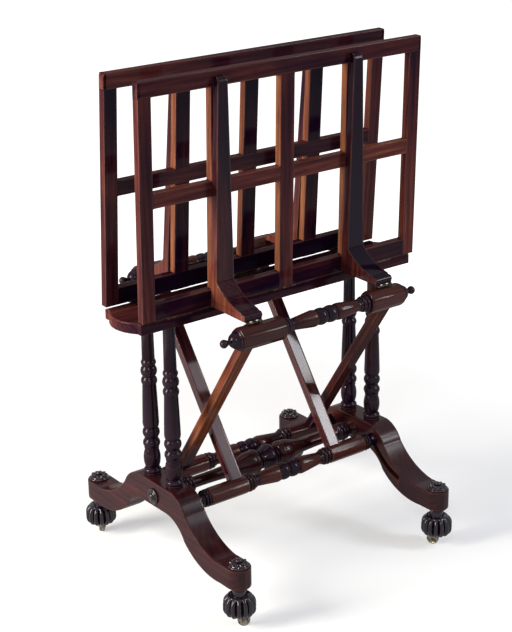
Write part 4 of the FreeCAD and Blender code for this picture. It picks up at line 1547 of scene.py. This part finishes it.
@dataclass
class Arm:
    """A bracket arm: a tapering upright with a rounded top and a foot that runs out over the bar."""

    palette: Palette
    leaf: Leaf
    hand: Hand
    width: float = 44.0
    top_width: float = 23.0
    straight: float = 57.0
    taper_end: float = 470.0
    round_start: float = 455.0
    round_length: float = 11.0
    round_in: float = 4.0
    black_from: float = 440.0
    lamp_lit: float = 0.7
    edge: float = 1.3
    chord: float = 3.0
    front: tuple[Corner, ...] = (
        (4.75, -117.2), (6.2, -117.2), (6.9, -116.2), (8.2, -116.2), (8.9, -117.9), (10.75, -118.0),
        (17.3, -109.4, 16.2, -116.2), (18.4, -107.0), (20.75, -104.0), (56.6, -29.6, 39.0, -53.2),
        (57.4, -29.4), (59.6, -28.6), (60.4, -27.0), (452.0, -22.0), (465.3, -8.4, 463.2, -17.2),
    )

    def build(self) -> Object:
        """Builds the arm.

        Returns:
            The piece.
        """
        # painted shade: the arm's top is painted black from black_from up; its side faces get painted side
        # light
        blank = Blank(Tone.BLACK, [(self.black_from, self.taper_end)], self.lamp_lit)
        cuts = []
        for at, out in trace(self.front, self.chord):
            share = max(0.0, at - self.straight) / (self.taper_end - self.straight)
            half = self.width / 2 + (self.top_width - self.width) / 2 * share
            past = max(0.0, at - self.round_start) / self.round_length
            half -= self.round_in * (1.0 - math.sqrt(max(0.0, 1.0 - past**2)))
            cuts.append(Cut(at, -half, half, out, self.leaf.face, self.edge))
        blank.stick(cuts, 0.0)
        shift = self.hand.local(self.leaf.side) * self.leaf.arm_reach
        name = f"{self.leaf.side.word}_{self.hand.word}_arm"
        place = self.leaf.frame() @ Matrix.Translation((shift, 0.0, 0.0))
        mesh = blank.mesh(name + "_bracket", place, self.palette.get(self.palette.arm))
        return show(mesh, f"{self.leaf.side.word}_leaf", [name])


# ---------------------------------------------------------------- strut frames


@dataclass
class Bar:
    """One bar of a strut frame: turned in the middle and at its ends, eight-sided between.

    A shift above 0 moves the turned middle along the bar.
    """

    width: float
    radius: float
    block_end: float
    ends: list[Corner]
    shift: float = 0.0
    block_start: float = 111.0
    half_bead: float = 25.6
    half_rings: float = 24.6
    end_rings: float = 60.0
    chord: float = 1.3
    eased: float = 0.45

    def half(self, shift: float) -> list[Corner]:
        """Draws one half of the bar, its turned middle in shares of the radius.

        Args:
            shift: How far the middle is moved towards this half's end.

        Returns:
            The corners from the centre out, as places along and radii.
        """
        shares: list[Corner] = [(0.0, 0.6), (0.6, 0.6), (1.0, 0.83), (24.0, 0.83, 12.7, 1.0), (24.4, 0.8)]
        shares += [(25.4, 0.8), (28.0, 0.96), (34.0, 1.0), (80.0, 0.71), (87.0, 0.66), (89.0, 0.76)]
        shares += [(93.0, 0.76, 91.0, 0.79), (94.5, 0.66), (102.0, 0.76, 98.5, 0.95), (102.5, 0.72)]
        shares += [(103.4, 0.74), (109.5, 0.8, 106.5, 1.0), (110.4, 0.78), (111.0, 0.78)]
        grow = [(0.0, 0.86), (0.3, 0.9), (1.2, 0.985), (2.6, 1.04), (4.6, 1.068)]
        flat, start = self.width / 2, self.block_start + shift
        corners = sized(shares, 1.0, self.radius, shift)
        corners += [(start + along, flat * share) for along, share in grow]
        corners += [(self.block_end - along, flat * share) for along, share in grow[::-1]]
        return corners + self.ends

    def outline(self) -> list[Point]:
        """Draws the whole bar.

        Returns:
            Its points from end to end.
        """
        halves = (trace(self.half(shift), self.chord) for shift in (-self.shift, self.shift))
        left, right = (ease(half, self.eased) for half in halves)
        return [(-along, radius) for along, radius in left[::-1]] + right

    def black_rings(self) -> list[Point]:
        """Lists the turned rings that are painted black.

        Returns:
            The stretch of the middle bead, then those beside the blocks and at the bar's ends.
        """
        inner, outer, margin = self.block_start - self.half_rings, self.block_start + 0.4, 0.6
        half = [(inner, outer), (-outer, -inner)]
        rings = [(-self.half_bead, self.half_bead), *half]
        end = (self.block_end + margin, self.block_end + self.end_rings)
        return [(self.shift + low, self.shift + high) for low, high in rings] + [end, (-end[1], -end[0])]

    def blank(self, lean: float, tone: Tone) -> Blank:
        """Shapes the bar.

        Args:
            lean: How far the strut frame leans, so that the flats stay level.
            tone: The tone of its wood.

        Returns:
            The blank, its Z along the bar.
        """
        flat, eighth, count = self.width / 2, 45.0, 8
        turned_middle, turned_end = self.block_start - 5.0, self.block_end + 0.2

        def trim(along: float, spoke: float, radius: float) -> float:
            """Trims the turned radius to the eight-sided block.

            Args:
                along: The place along the bar.
                spoke: The angle of the point.
                radius: The turned radius.

            Returns:
                The smaller radius.
            """
            if abs(along - self.shift) < turned_middle or abs(along) > turned_end:
                return radius
            off = (spoke + lean) % eighth
            off = off if off <= eighth / 2 else off - eighth
            return min(radius, flat / math.cos(math.radians(off)))

        offsets = (-22.5, -21.6, -20.6, -14.0, -7.0, 0.0, 7.0, 14.0, 20.6, 21.6)
        spokes = [eighth * index + off - lean for index in range(count) for off in offsets]
        blank = Blank(tone, self.black_rings())
        blank.lathe(self.outline(), spokes, trim)
        return blank


@dataclass
class StrutFrame:
    """An upper bar, two flat struts and the lower bar on the far side, which move as one.

    The front frame's struts are painted black at their lower ends, and the black runs out over the darkening
    run.
    """

    palette: Palette
    side: Side
    bar_reach: float
    bar_height: float
    length: float
    lean: float
    block_end: float
    strut_reach: float
    shift: float = 0.0
    upper_width: float = 45.0
    upper_radius: float = 17.6
    lower_width: float = 36.0
    lower_radius: float = 19.0
    ball: float = 8.6
    lower_block_end: float = 211.0
    pin_end: float = 253.0
    pin_radius: float = 5.5
    strut_width: float = 29.5
    strut_thickness: float = 18.0
    housing: float = 7.0
    play: float = 0.2
    edge: float = 1.4
    end: float = 0.3
    darkening_run: float = 120.0

    def frame(self, along: float = 0.0) -> Matrix:
        """A point on the frame's own axis, Z pointing from the lower bar to the upper bar."""
        base = placed(turn=self.side.value) @ Vector((0.0, self.bar_reach, self.bar_height))
        return placed(*base, self.side.value, self.lean) @ Matrix.Translation((0.0, 0.0, along))

    def finial(self) -> list[Corner]:
        """Draws the end of the upper bar: a flange, a bell, a neck and a ball.

        Returns:
            Its corners, from the block out.
        """
        end, size, ball = self.block_end, self.upper_radius, self.ball
        flange: list[Corner] = [(0.4, 1.0), (0.8, 1.0), (1.0, 1.1), (3.0, 1.1, 2.0, 1.16)]
        flange += [(3.4, 0.97), (4.4, 0.97)]
        bell: list[Corner] = [(end + 20.0, ball * 0.5, end + 14.0, size * 0.75)]
        neck: list[Corner] = [(23.0, 0.46), (25.0, 0.5), (25.4, 0.66), (26.6, 0.66), (26.9, 0.55)]
        tip: list[Corner] = [(end + 41.4, 1.4, end + 33.6, ball), (end + 41.6, 0.2)]
        return sized(flange, 1.0, size, end) + bell + sized(neck, 1.0, ball, end) + tip

    def tenon_end(self) -> list[Corner]:
        """Draws the end of the lower bar: two rings, a short neck and the pin that rides in the track.

        Returns:
            Its corners, from the block out.
        """
        end, pin = self.lower_block_end, self.pin_radius
        rings: list[Corner] = [(0.2, 0.8), (0.6, 0.86), (6.0, 0.86, 3.2, 1.0), (6.4, 0.8), (7.2, 0.8)]
        rings += [(13.0, 0.8, 10.0, 0.97), (13.5, 0.74), (31.0, 0.76, 22.0, 0.68)]
        rod: list[Corner] = [(end + 31.2, pin), (self.pin_end - 0.4, pin), (self.pin_end, pin - 0.6)]
        return sized(rings, 1.0, self.lower_radius, end) + rod

    def strut(self, hand: Hand) -> Object:
        """Builds one flat strut, let into the blocks of both bars.

        Args:
            hand: Which strut.

        Returns:
            The piece.
        """
        middle = hand.local(self.side) * self.strut_reach
        left, right = middle - self.strut_width / 2, middle + self.strut_width / 2
        half = self.strut_thickness / 2
        let_in = self.housing - self.play
        low, high = self.lower_width / 2 - let_in, self.length - self.upper_width / 2 + let_in
        front = self.side is Side.FRONT
        # painted light and shade: the front left strut is painted warmer and lighter, the others darker
        tone = Tone.WARM if front and hand is Hand.LEFT else Tone.PURPLE
        # painted black at the lower end, fading out over the darkening run
        blank = Blank(tone, [(0.0, low + 1.0)] if front else [])
        places = (low, low + self.darkening_run, high)
        blank.stick([Cut(at, left, right, -half, half, self.edge) for at in places], self.end)
        name = f"{self.side.word}_{hand.word}_strut"
        # painted side light: the front frame's struts take the paler, more golden finish
        finish = self.palette.lamp_lit if front else self.palette.strut
        mesh = blank.mesh(name + "_board", self.frame(), self.palette.get(finish))
        return show(mesh, self.body, [name])

    @property
    def body(self) -> str:
        """The CAD body that the frame is."""
        return f"{self.side.word}_strut_frame"

    def build(self) -> list[Object]:
        """Builds the bars and the struts.

        Returns:
            The pieces.
        """
        far = Side.BACK if self.side is Side.FRONT else Side.FRONT
        upper = Bar(self.upper_width, self.upper_radius, self.block_end, self.finial(), self.shift)
        lower = Bar(self.lower_width, self.lower_radius, self.lower_block_end, self.tenon_end())
        finish = self.palette.get(self.palette.turned)
        bars = (f"{self.side.word}_upper_bar", upper, self.length), (f"{far.word}_lower_bar", lower, 0.0)
        pieces = []
        for name, bar, along in bars:
            blank = bar.blank(self.lean, Tone.WARM)
            mesh = blank.mesh(name + "_turning", self.frame(along) @ TURNED_X, finish)
            pieces.append(show(mesh, self.body, [name]))
        return pieces + [self.strut(hand) for hand in Hand]


# ---------------------------------------------------------------- feet and hardware


@dataclass
class Feet:
    """The four gadrooned bun feet and the petalled paterae above them."""

    palette: Palette
    reach: float = 269.0
    toe_reach: float = 255.0
    toe_top: float = 133.6
    lobes: int = 14
    spokes_per_lobe: int = 12
    grooves: Point = (27.5, 71.2)
    depth: float = 6.4
    petals: int = 10
    turn: float = 9.0
    bun_chord: float = 1.3
    bun_eased: float = 0.4
    bun_smooth: float = 60.0
    rim_chord: float = 0.8
    rim_eased: float = 0.3
    rim_smooth: float = 50.0
    rim_spokes: int = 60
    bun: tuple[Corner, ...] = (
        (36.0, 3.2), (36.0, 22.4), (29.0, 22.4), (28.0, 23.4), (28.0, 25.6), (29.0, 28.0),
        (46.5, 33.7, 35.6, 32.6), (71.0, 22.0, 63.4, 30.0), (71.6, 18.6), (69.8, 16.6), (70.4, 15.2),
        (84.0, 15.2, 77.0, 14.4), (85.0, 17.4), (88.6, 17.4, 86.8, 18.6), (89.6, 15.6), (91.0, 14.0),
    )
    rim: tuple[Corner, ...] = (
        (0.0, 21.0), (0.5, 21.4), (3.4, 21.2, 2.0, 22.0), (4.2, 19.6), (4.2, 18.6), (6.0, 17.6), (7.6, 14.0),
        (8.0, 9.0), (8.4, 6.4), (10.6, 6.4), (15.6, 2.6, 14.4, 5.6), (16.0, 0.3),
    )

    def spots(self) -> list[tuple[Side, Hand, Matrix]]:
        """Lists the four toes.

        Returns:
            Each one's side, hand and frame on the floor, turned a little further than the last.
        """
        toes = [(side, hand) for hand in Hand for side in Side]
        return [
            (side, hand, placed(hand.value * self.reach, side.sign * self.toe_reach, turn=self.turn * number))
            for number, (side, hand) in enumerate(toes)
        ]

    def feet(self) -> list[Object]:
        """Carves one bun and sets it under each toe.

        Returns:
            The pieces.
        """
        finish = self.palette.get(self.palette.carved)
        profile = ease(trace(self.bun, self.bun_chord), self.bun_eased)
        low, high = self.grooves
        rule = gadroon_rule(self.lobes, self.depth * MM, low * MM, high * MM, finish)
        pieces = []
        for side, hand, place in self.spots():
            blank = Blank(Tone.BLACK)
            blank.lathe(profile, even(self.lobes * self.spokes_per_lobe))
            turned = blank.mesh("bun", Matrix(), finish)
            name = f"{side.word}_{hand.word}_foot"
            mesh = rule.run(turned, name + "_bun")
            mesh.transform(self.in_metres(place))
            mesh.set_sharp_from_angle(angle=math.radians(self.bun_smooth))
            pieces.append(show(mesh, STAND, [name]))
        return pieces

    @staticmethod
    def in_metres(place: Matrix) -> Matrix:
        """Brings a frame to metres.

        Args:
            place: The frame in millimetres.

        Returns:
            The frame in metres, with the same turn.
        """
        moved = place.copy()
        moved.translation = place.translation * MM
        return moved

    def petal(self) -> Mesh:
        """One pointed petal, lying outward along X from the button to the rim.

        Returns:
            Its mesh, in metres about the patera's own axis.
        """
        start, length, steps, wear = 6.0, 12.6, 8, 0.2
        tip_half_width, more_width, width_power = 0.35, 4.3, 0.8
        low_crown, more_crown, crown_power = 8.4, 2.6, 0.7
        inner_base, fall = 7.2, 2.4
        blank = Blank(Tone.BLACK)
        rings = []
        for step in range(steps + 1):
            share = step / steps
            half = tip_half_width + more_width * math.sin(math.pi * (0.12 + 0.86 * share)) ** width_power
            crown = low_crown + more_crown * math.sin(math.pi * (0.15 + 0.7 * share))
            base = inner_base - fall * share
            ring = []
            for turn in range(0, 360, 30):
                angle = math.radians(turn)
                lift = (crown - base) * max(0.0, math.sin(angle)) ** crown_power if turn < 180 else 0.0
                ring.append((Vector((start + length * share, half * math.cos(angle), base + lift)), wear))
            rings.append(blank.loop(ring))
        blank.skin(rings)
        return blank.mesh("petal", Matrix(), self.palette.get(self.palette.carved))

    def paterae(self) -> list[Object]:
        """Turns the discs and sets a ring of petals on each.

        Returns:
            The pieces.
        """
        finish = self.palette.get(self.palette.carved)
        petals = ring_rule(self.petals, finish).run(self.petal(), "petals")
        pieces = []
        for side, hand, place in self.spots():
            blank = Blank(Tone.BLACK)
            blank.lathe(ease(trace(self.rim, self.rim_chord), self.rim_eased), even(self.rim_spokes))
            disc = blank.mesh("disc", Matrix(), finish)
            bm = bmesh.new()
            bm.from_mesh(disc)
            bm.from_mesh(petals)
            mesh = bpy.data.meshes.new(f"{side.word}_{hand.word}_patera")
            bm.to_mesh(mesh)
            bm.free()
            mesh.materials.append(finish)
            mesh.transform(self.in_metres(placed(z=self.toe_top) @ place))
            mesh.set_sharp_from_angle(angle=math.radians(self.rim_smooth))
            pieces.append(show(mesh, STAND, ["toe_paterae"]))
        return pieces


@dataclass
class Hardware:
    """The brass: hinges and castors keep their CAD shapes, and the platform's plates get screw heads."""

    palette: Palette
    hinge_reach: float = 262.0
    screw_reach: float = 52.0
    screw_spacing: float = 22.0
    plate_top: float = 603.9
    head: float = 2.4
    rise: float = 0.5

    def dress_nodes(self) -> int:
        """Gives the hinges and castors their brass.

        Returns:
            How many CAD nodes were dressed.
        """
        finishes = {"hinge_plates": self.palette.bronzed, "castor": self.palette.brass}
        count = 0
        for name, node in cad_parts.items():
            for word, finish in finishes.items():
                if word in name:
                    node.data.materials.clear()
                    node.data.materials.append(self.palette.get(finish))
                    count += 1
        return count

    def platform_screws(self) -> Object:
        """Sets three screws in each plate on the platform.

        Returns:
            The piece.
        """
        height = self.plate_top + self.rise / 2
        spots = []
        for side in Side:
            for middle in (-self.hinge_reach, 0.0, self.hinge_reach):
                for step in (-self.screw_spacing, 0.0, self.screw_spacing):
                    place = Vector((middle + step, side.sign * self.screw_reach, height))
                    spots.append((place * MM, Vector((0.0, 0.0, 1.0))))
        return self.set_screws("platform_hinge_screws", spots, STAND)

    def set_screws(self, name: str, spots: Sequence[tuple[Vector, Vector]], body: str) -> Object:
        """Sets a screw head at each spot.

        Args:
            name: The piece's name.
            spots: Where each head is, and which way it faces.
            body: The CAD body of the plates.

        Returns:
            The piece.
        """
        mesh = bpy.data.meshes.new("screw_spots")
        mesh.from_pydata([spot for spot, _ in spots], [], [])
        facing = mesh.attributes.new("facing", "FLOAT_VECTOR", "POINT")
        facing.data.foreach_set("vector", [part for _, way in spots for part in way])
        rule = screw_rule(self.head * MM, self.rise * MM, self.palette.get(self.palette.bronzed))
        return show(rule.run(mesh, name), body)


# ---------------------------------------------------------------- studio


@dataclass
class Lamp:
    """A soft rectangular lamp, aimed at a point of the stand."""

    name: str
    place: Corner
    size: Point
    power: float
    tint: Colour = (1.0, 1.0, 1.0)
    aim: Corner = (0.0, 0.0, 0.5)

    def build(self) -> Object:
        """Hangs the lamp.

        Returns:
            Its object.
        """
        light = bpy.data.lights.new(self.name, "AREA")
        light.shape = "RECTANGLE"
        light.size, light.size_y = self.size
        light.energy = self.power
        light.color = self.tint
        lamp = put(self.name, light)
        lamp.location = self.place
        lamp.rotation_euler = (Vector(self.aim) - Vector(self.place)).to_track_quat("-Z", "Y").to_euler()
        return lamp


COLD = (0.95, 0.96, 1.0)
RIGHT_AIM = (0.133, 0.066, 0.394)


@dataclass
class Studio:
    """The pale floor, the lamps, the white surroundings and the camera."""

    palette: Palette
    floor: FloorFinish = FloorFinish("studio_floor")
    reach: float = 14.0
    soft_light: Colour = (1.0, 0.98, 0.97)
    world: float = 0.2
    camera_place: Corner = (-1.92980, -2.49712, 1.68514)
    azimuth: float = -37.3814
    elevation: float = 20.2223
    roll: float = -0.8860
    focal_pixels: float = 1602.763
    long_side: float = 632.0
    sensor: float = 36.0
    lamps: tuple[Lamp, ...] = (
        Lamp("window_left", (-2.8, 0.75, 1.4), (1.1, 1.7), 170.0, (1.0, 0.94, 0.81)),
        Lamp("overhead", (-0.3, 0.6, 2.8), (1.6, 1.2), 7.0),
        Lamp("right_upper", (1.875, -1.578, 2.225), (0.46, 0.60), 15.0, COLD, RIGHT_AIM),
        Lamp("right_lower", (1.895, -2.03, 1.635), (0.46, 0.60), 20.0, COLD, RIGHT_AIM),
        Lamp("right_dim", (1.36, -1.82, 1.90), (0.44, 1.3), 6.5, (0.90, 0.90, 1.0), (-0.133, 0.066, 0.394)),
        Lamp("front_fill", (-0.6, -3.2, 1.6), (1.6, 1.2), 3.0, (0.86, 0.86, 1.0)),
        Lamp("spark", (-1.7, -1.9, 2.1), (0.2, 0.3), 13.0),
    )

    def lay_floor(self) -> None:
        """Lays the floor."""
        mesh = bpy.data.meshes.new("studio_floor")
        corners = ((-1, -1), (1, -1), (1, 1), (-1, 1))
        mesh.from_pydata([(x * self.reach, y * self.reach, 0.0) for x, y in corners], [], [(0, 1, 2, 3)])
        mesh.materials.append(self.palette.get(self.floor))
        floor = put("studio_floor", mesh)

    def surround(self) -> None:
        """Makes the surroundings white to the eye and in reflections, and a plain soft light otherwise."""
        world = bpy.data.worlds.new("studio")
        bpy.context.scene.world = world
        world.use_nodes = True
        world.node_tree.nodes.clear()
        bench = Bench(world.node_tree)
        soft = bench.add("ShaderNodeBackground", {0: (*self.soft_light, 1.0), 1: self.world}).outputs[0]
        white = bench.add("ShaderNodeBackground", {0: (1.0, 1.0, 1.0, 1.0), 1: 1.0}).outputs[0]
        mixed = bench.add("ShaderNodeMixShader", {0: bench.seen(), 1: soft, 2: white}).outputs[0]
        bench.add("ShaderNodeOutputWorld", {0: mixed})

    def set_camera(self) -> None:
        """Sets the camera up."""
        camera = bpy.data.cameras.new("camera")
        camera.sensor_fit = "AUTO"
        camera.sensor_width = self.sensor
        camera.lens = self.focal_pixels / self.long_side * self.sensor
        camera.clip_end = 100.0
        yaw, pitch, roll = (math.radians(turn) for turn in (self.azimuth, self.elevation, self.roll))
        back = Vector((math.sin(yaw) * math.cos(pitch), -math.cos(yaw) * math.cos(pitch), math.sin(pitch)))
        right = Vector((math.cos(yaw), math.sin(yaw), 0.0))
        up = back.cross(right)
        level = right * math.cos(roll) + up * math.sin(roll)
        upright = up * math.cos(roll) - right * math.sin(roll)
        holder = put("camera", camera)
        turn = Matrix((level, upright, back)).transposed().to_4x4()
        holder.matrix_world = Matrix.Translation(self.camera_place) @ turn
        bpy.context.scene.camera = holder

    def build(self) -> None:
        """Builds the whole studio."""
        self.lay_floor()
        self.surround()
        self.set_camera()
        for lamp in self.lamps:
            lamp.build()
        bpy.context.scene.view_settings.view_transform = "Standard"


# ---------------------------------------------------------------- the stand


def main() -> None:
    """Builds the stand's pieces in order and logs how many brass nodes it dressed."""
    logging.basicConfig(level=logging.INFO, format="%(message)s")
    palette = Palette()
    pieces: list[Object] = []
    for hand in Hand:
        pieces.append(TrestleEnd(palette, hand).build())
        pieces += [Column(palette, hand, side).build() for side in Side]
    stretcher = Stretcher(palette)
    pieces.append(stretcher.stretcher())
    pieces += [stretcher.boss(hand) for hand in Hand]
    pieces.append(Platform(palette).build())
    for side, lean in ((Side.FRONT, 1.6), (Side.BACK, -3.8)):
        pieces += Leaf(palette, side, lean).build()
    front = StrutFrame(
        palette, Side.FRONT, bar_reach=70.0, bar_height=192.5, length=461.137, lean=33.867,
        block_end=209.5, strut_reach=180.0, shift=9.0,
    )
    back = StrutFrame(
        palette, Side.BACK, bar_reach=73.0, bar_height=194.5, length=487.137, lean=34.828,
        block_end=182.0, strut_reach=133.0,
    )
    pieces += front.build() + back.build()
    feet = Feet(palette)
    pieces += feet.feet() + feet.paterae()
    hardware = Hardware(palette)
    pieces.append(hardware.platform_screws())
    log.info("brass nodes: %d", hardware.dress_nodes())
    Studio(palette).build()


if __name__ == "__main__":
    main()
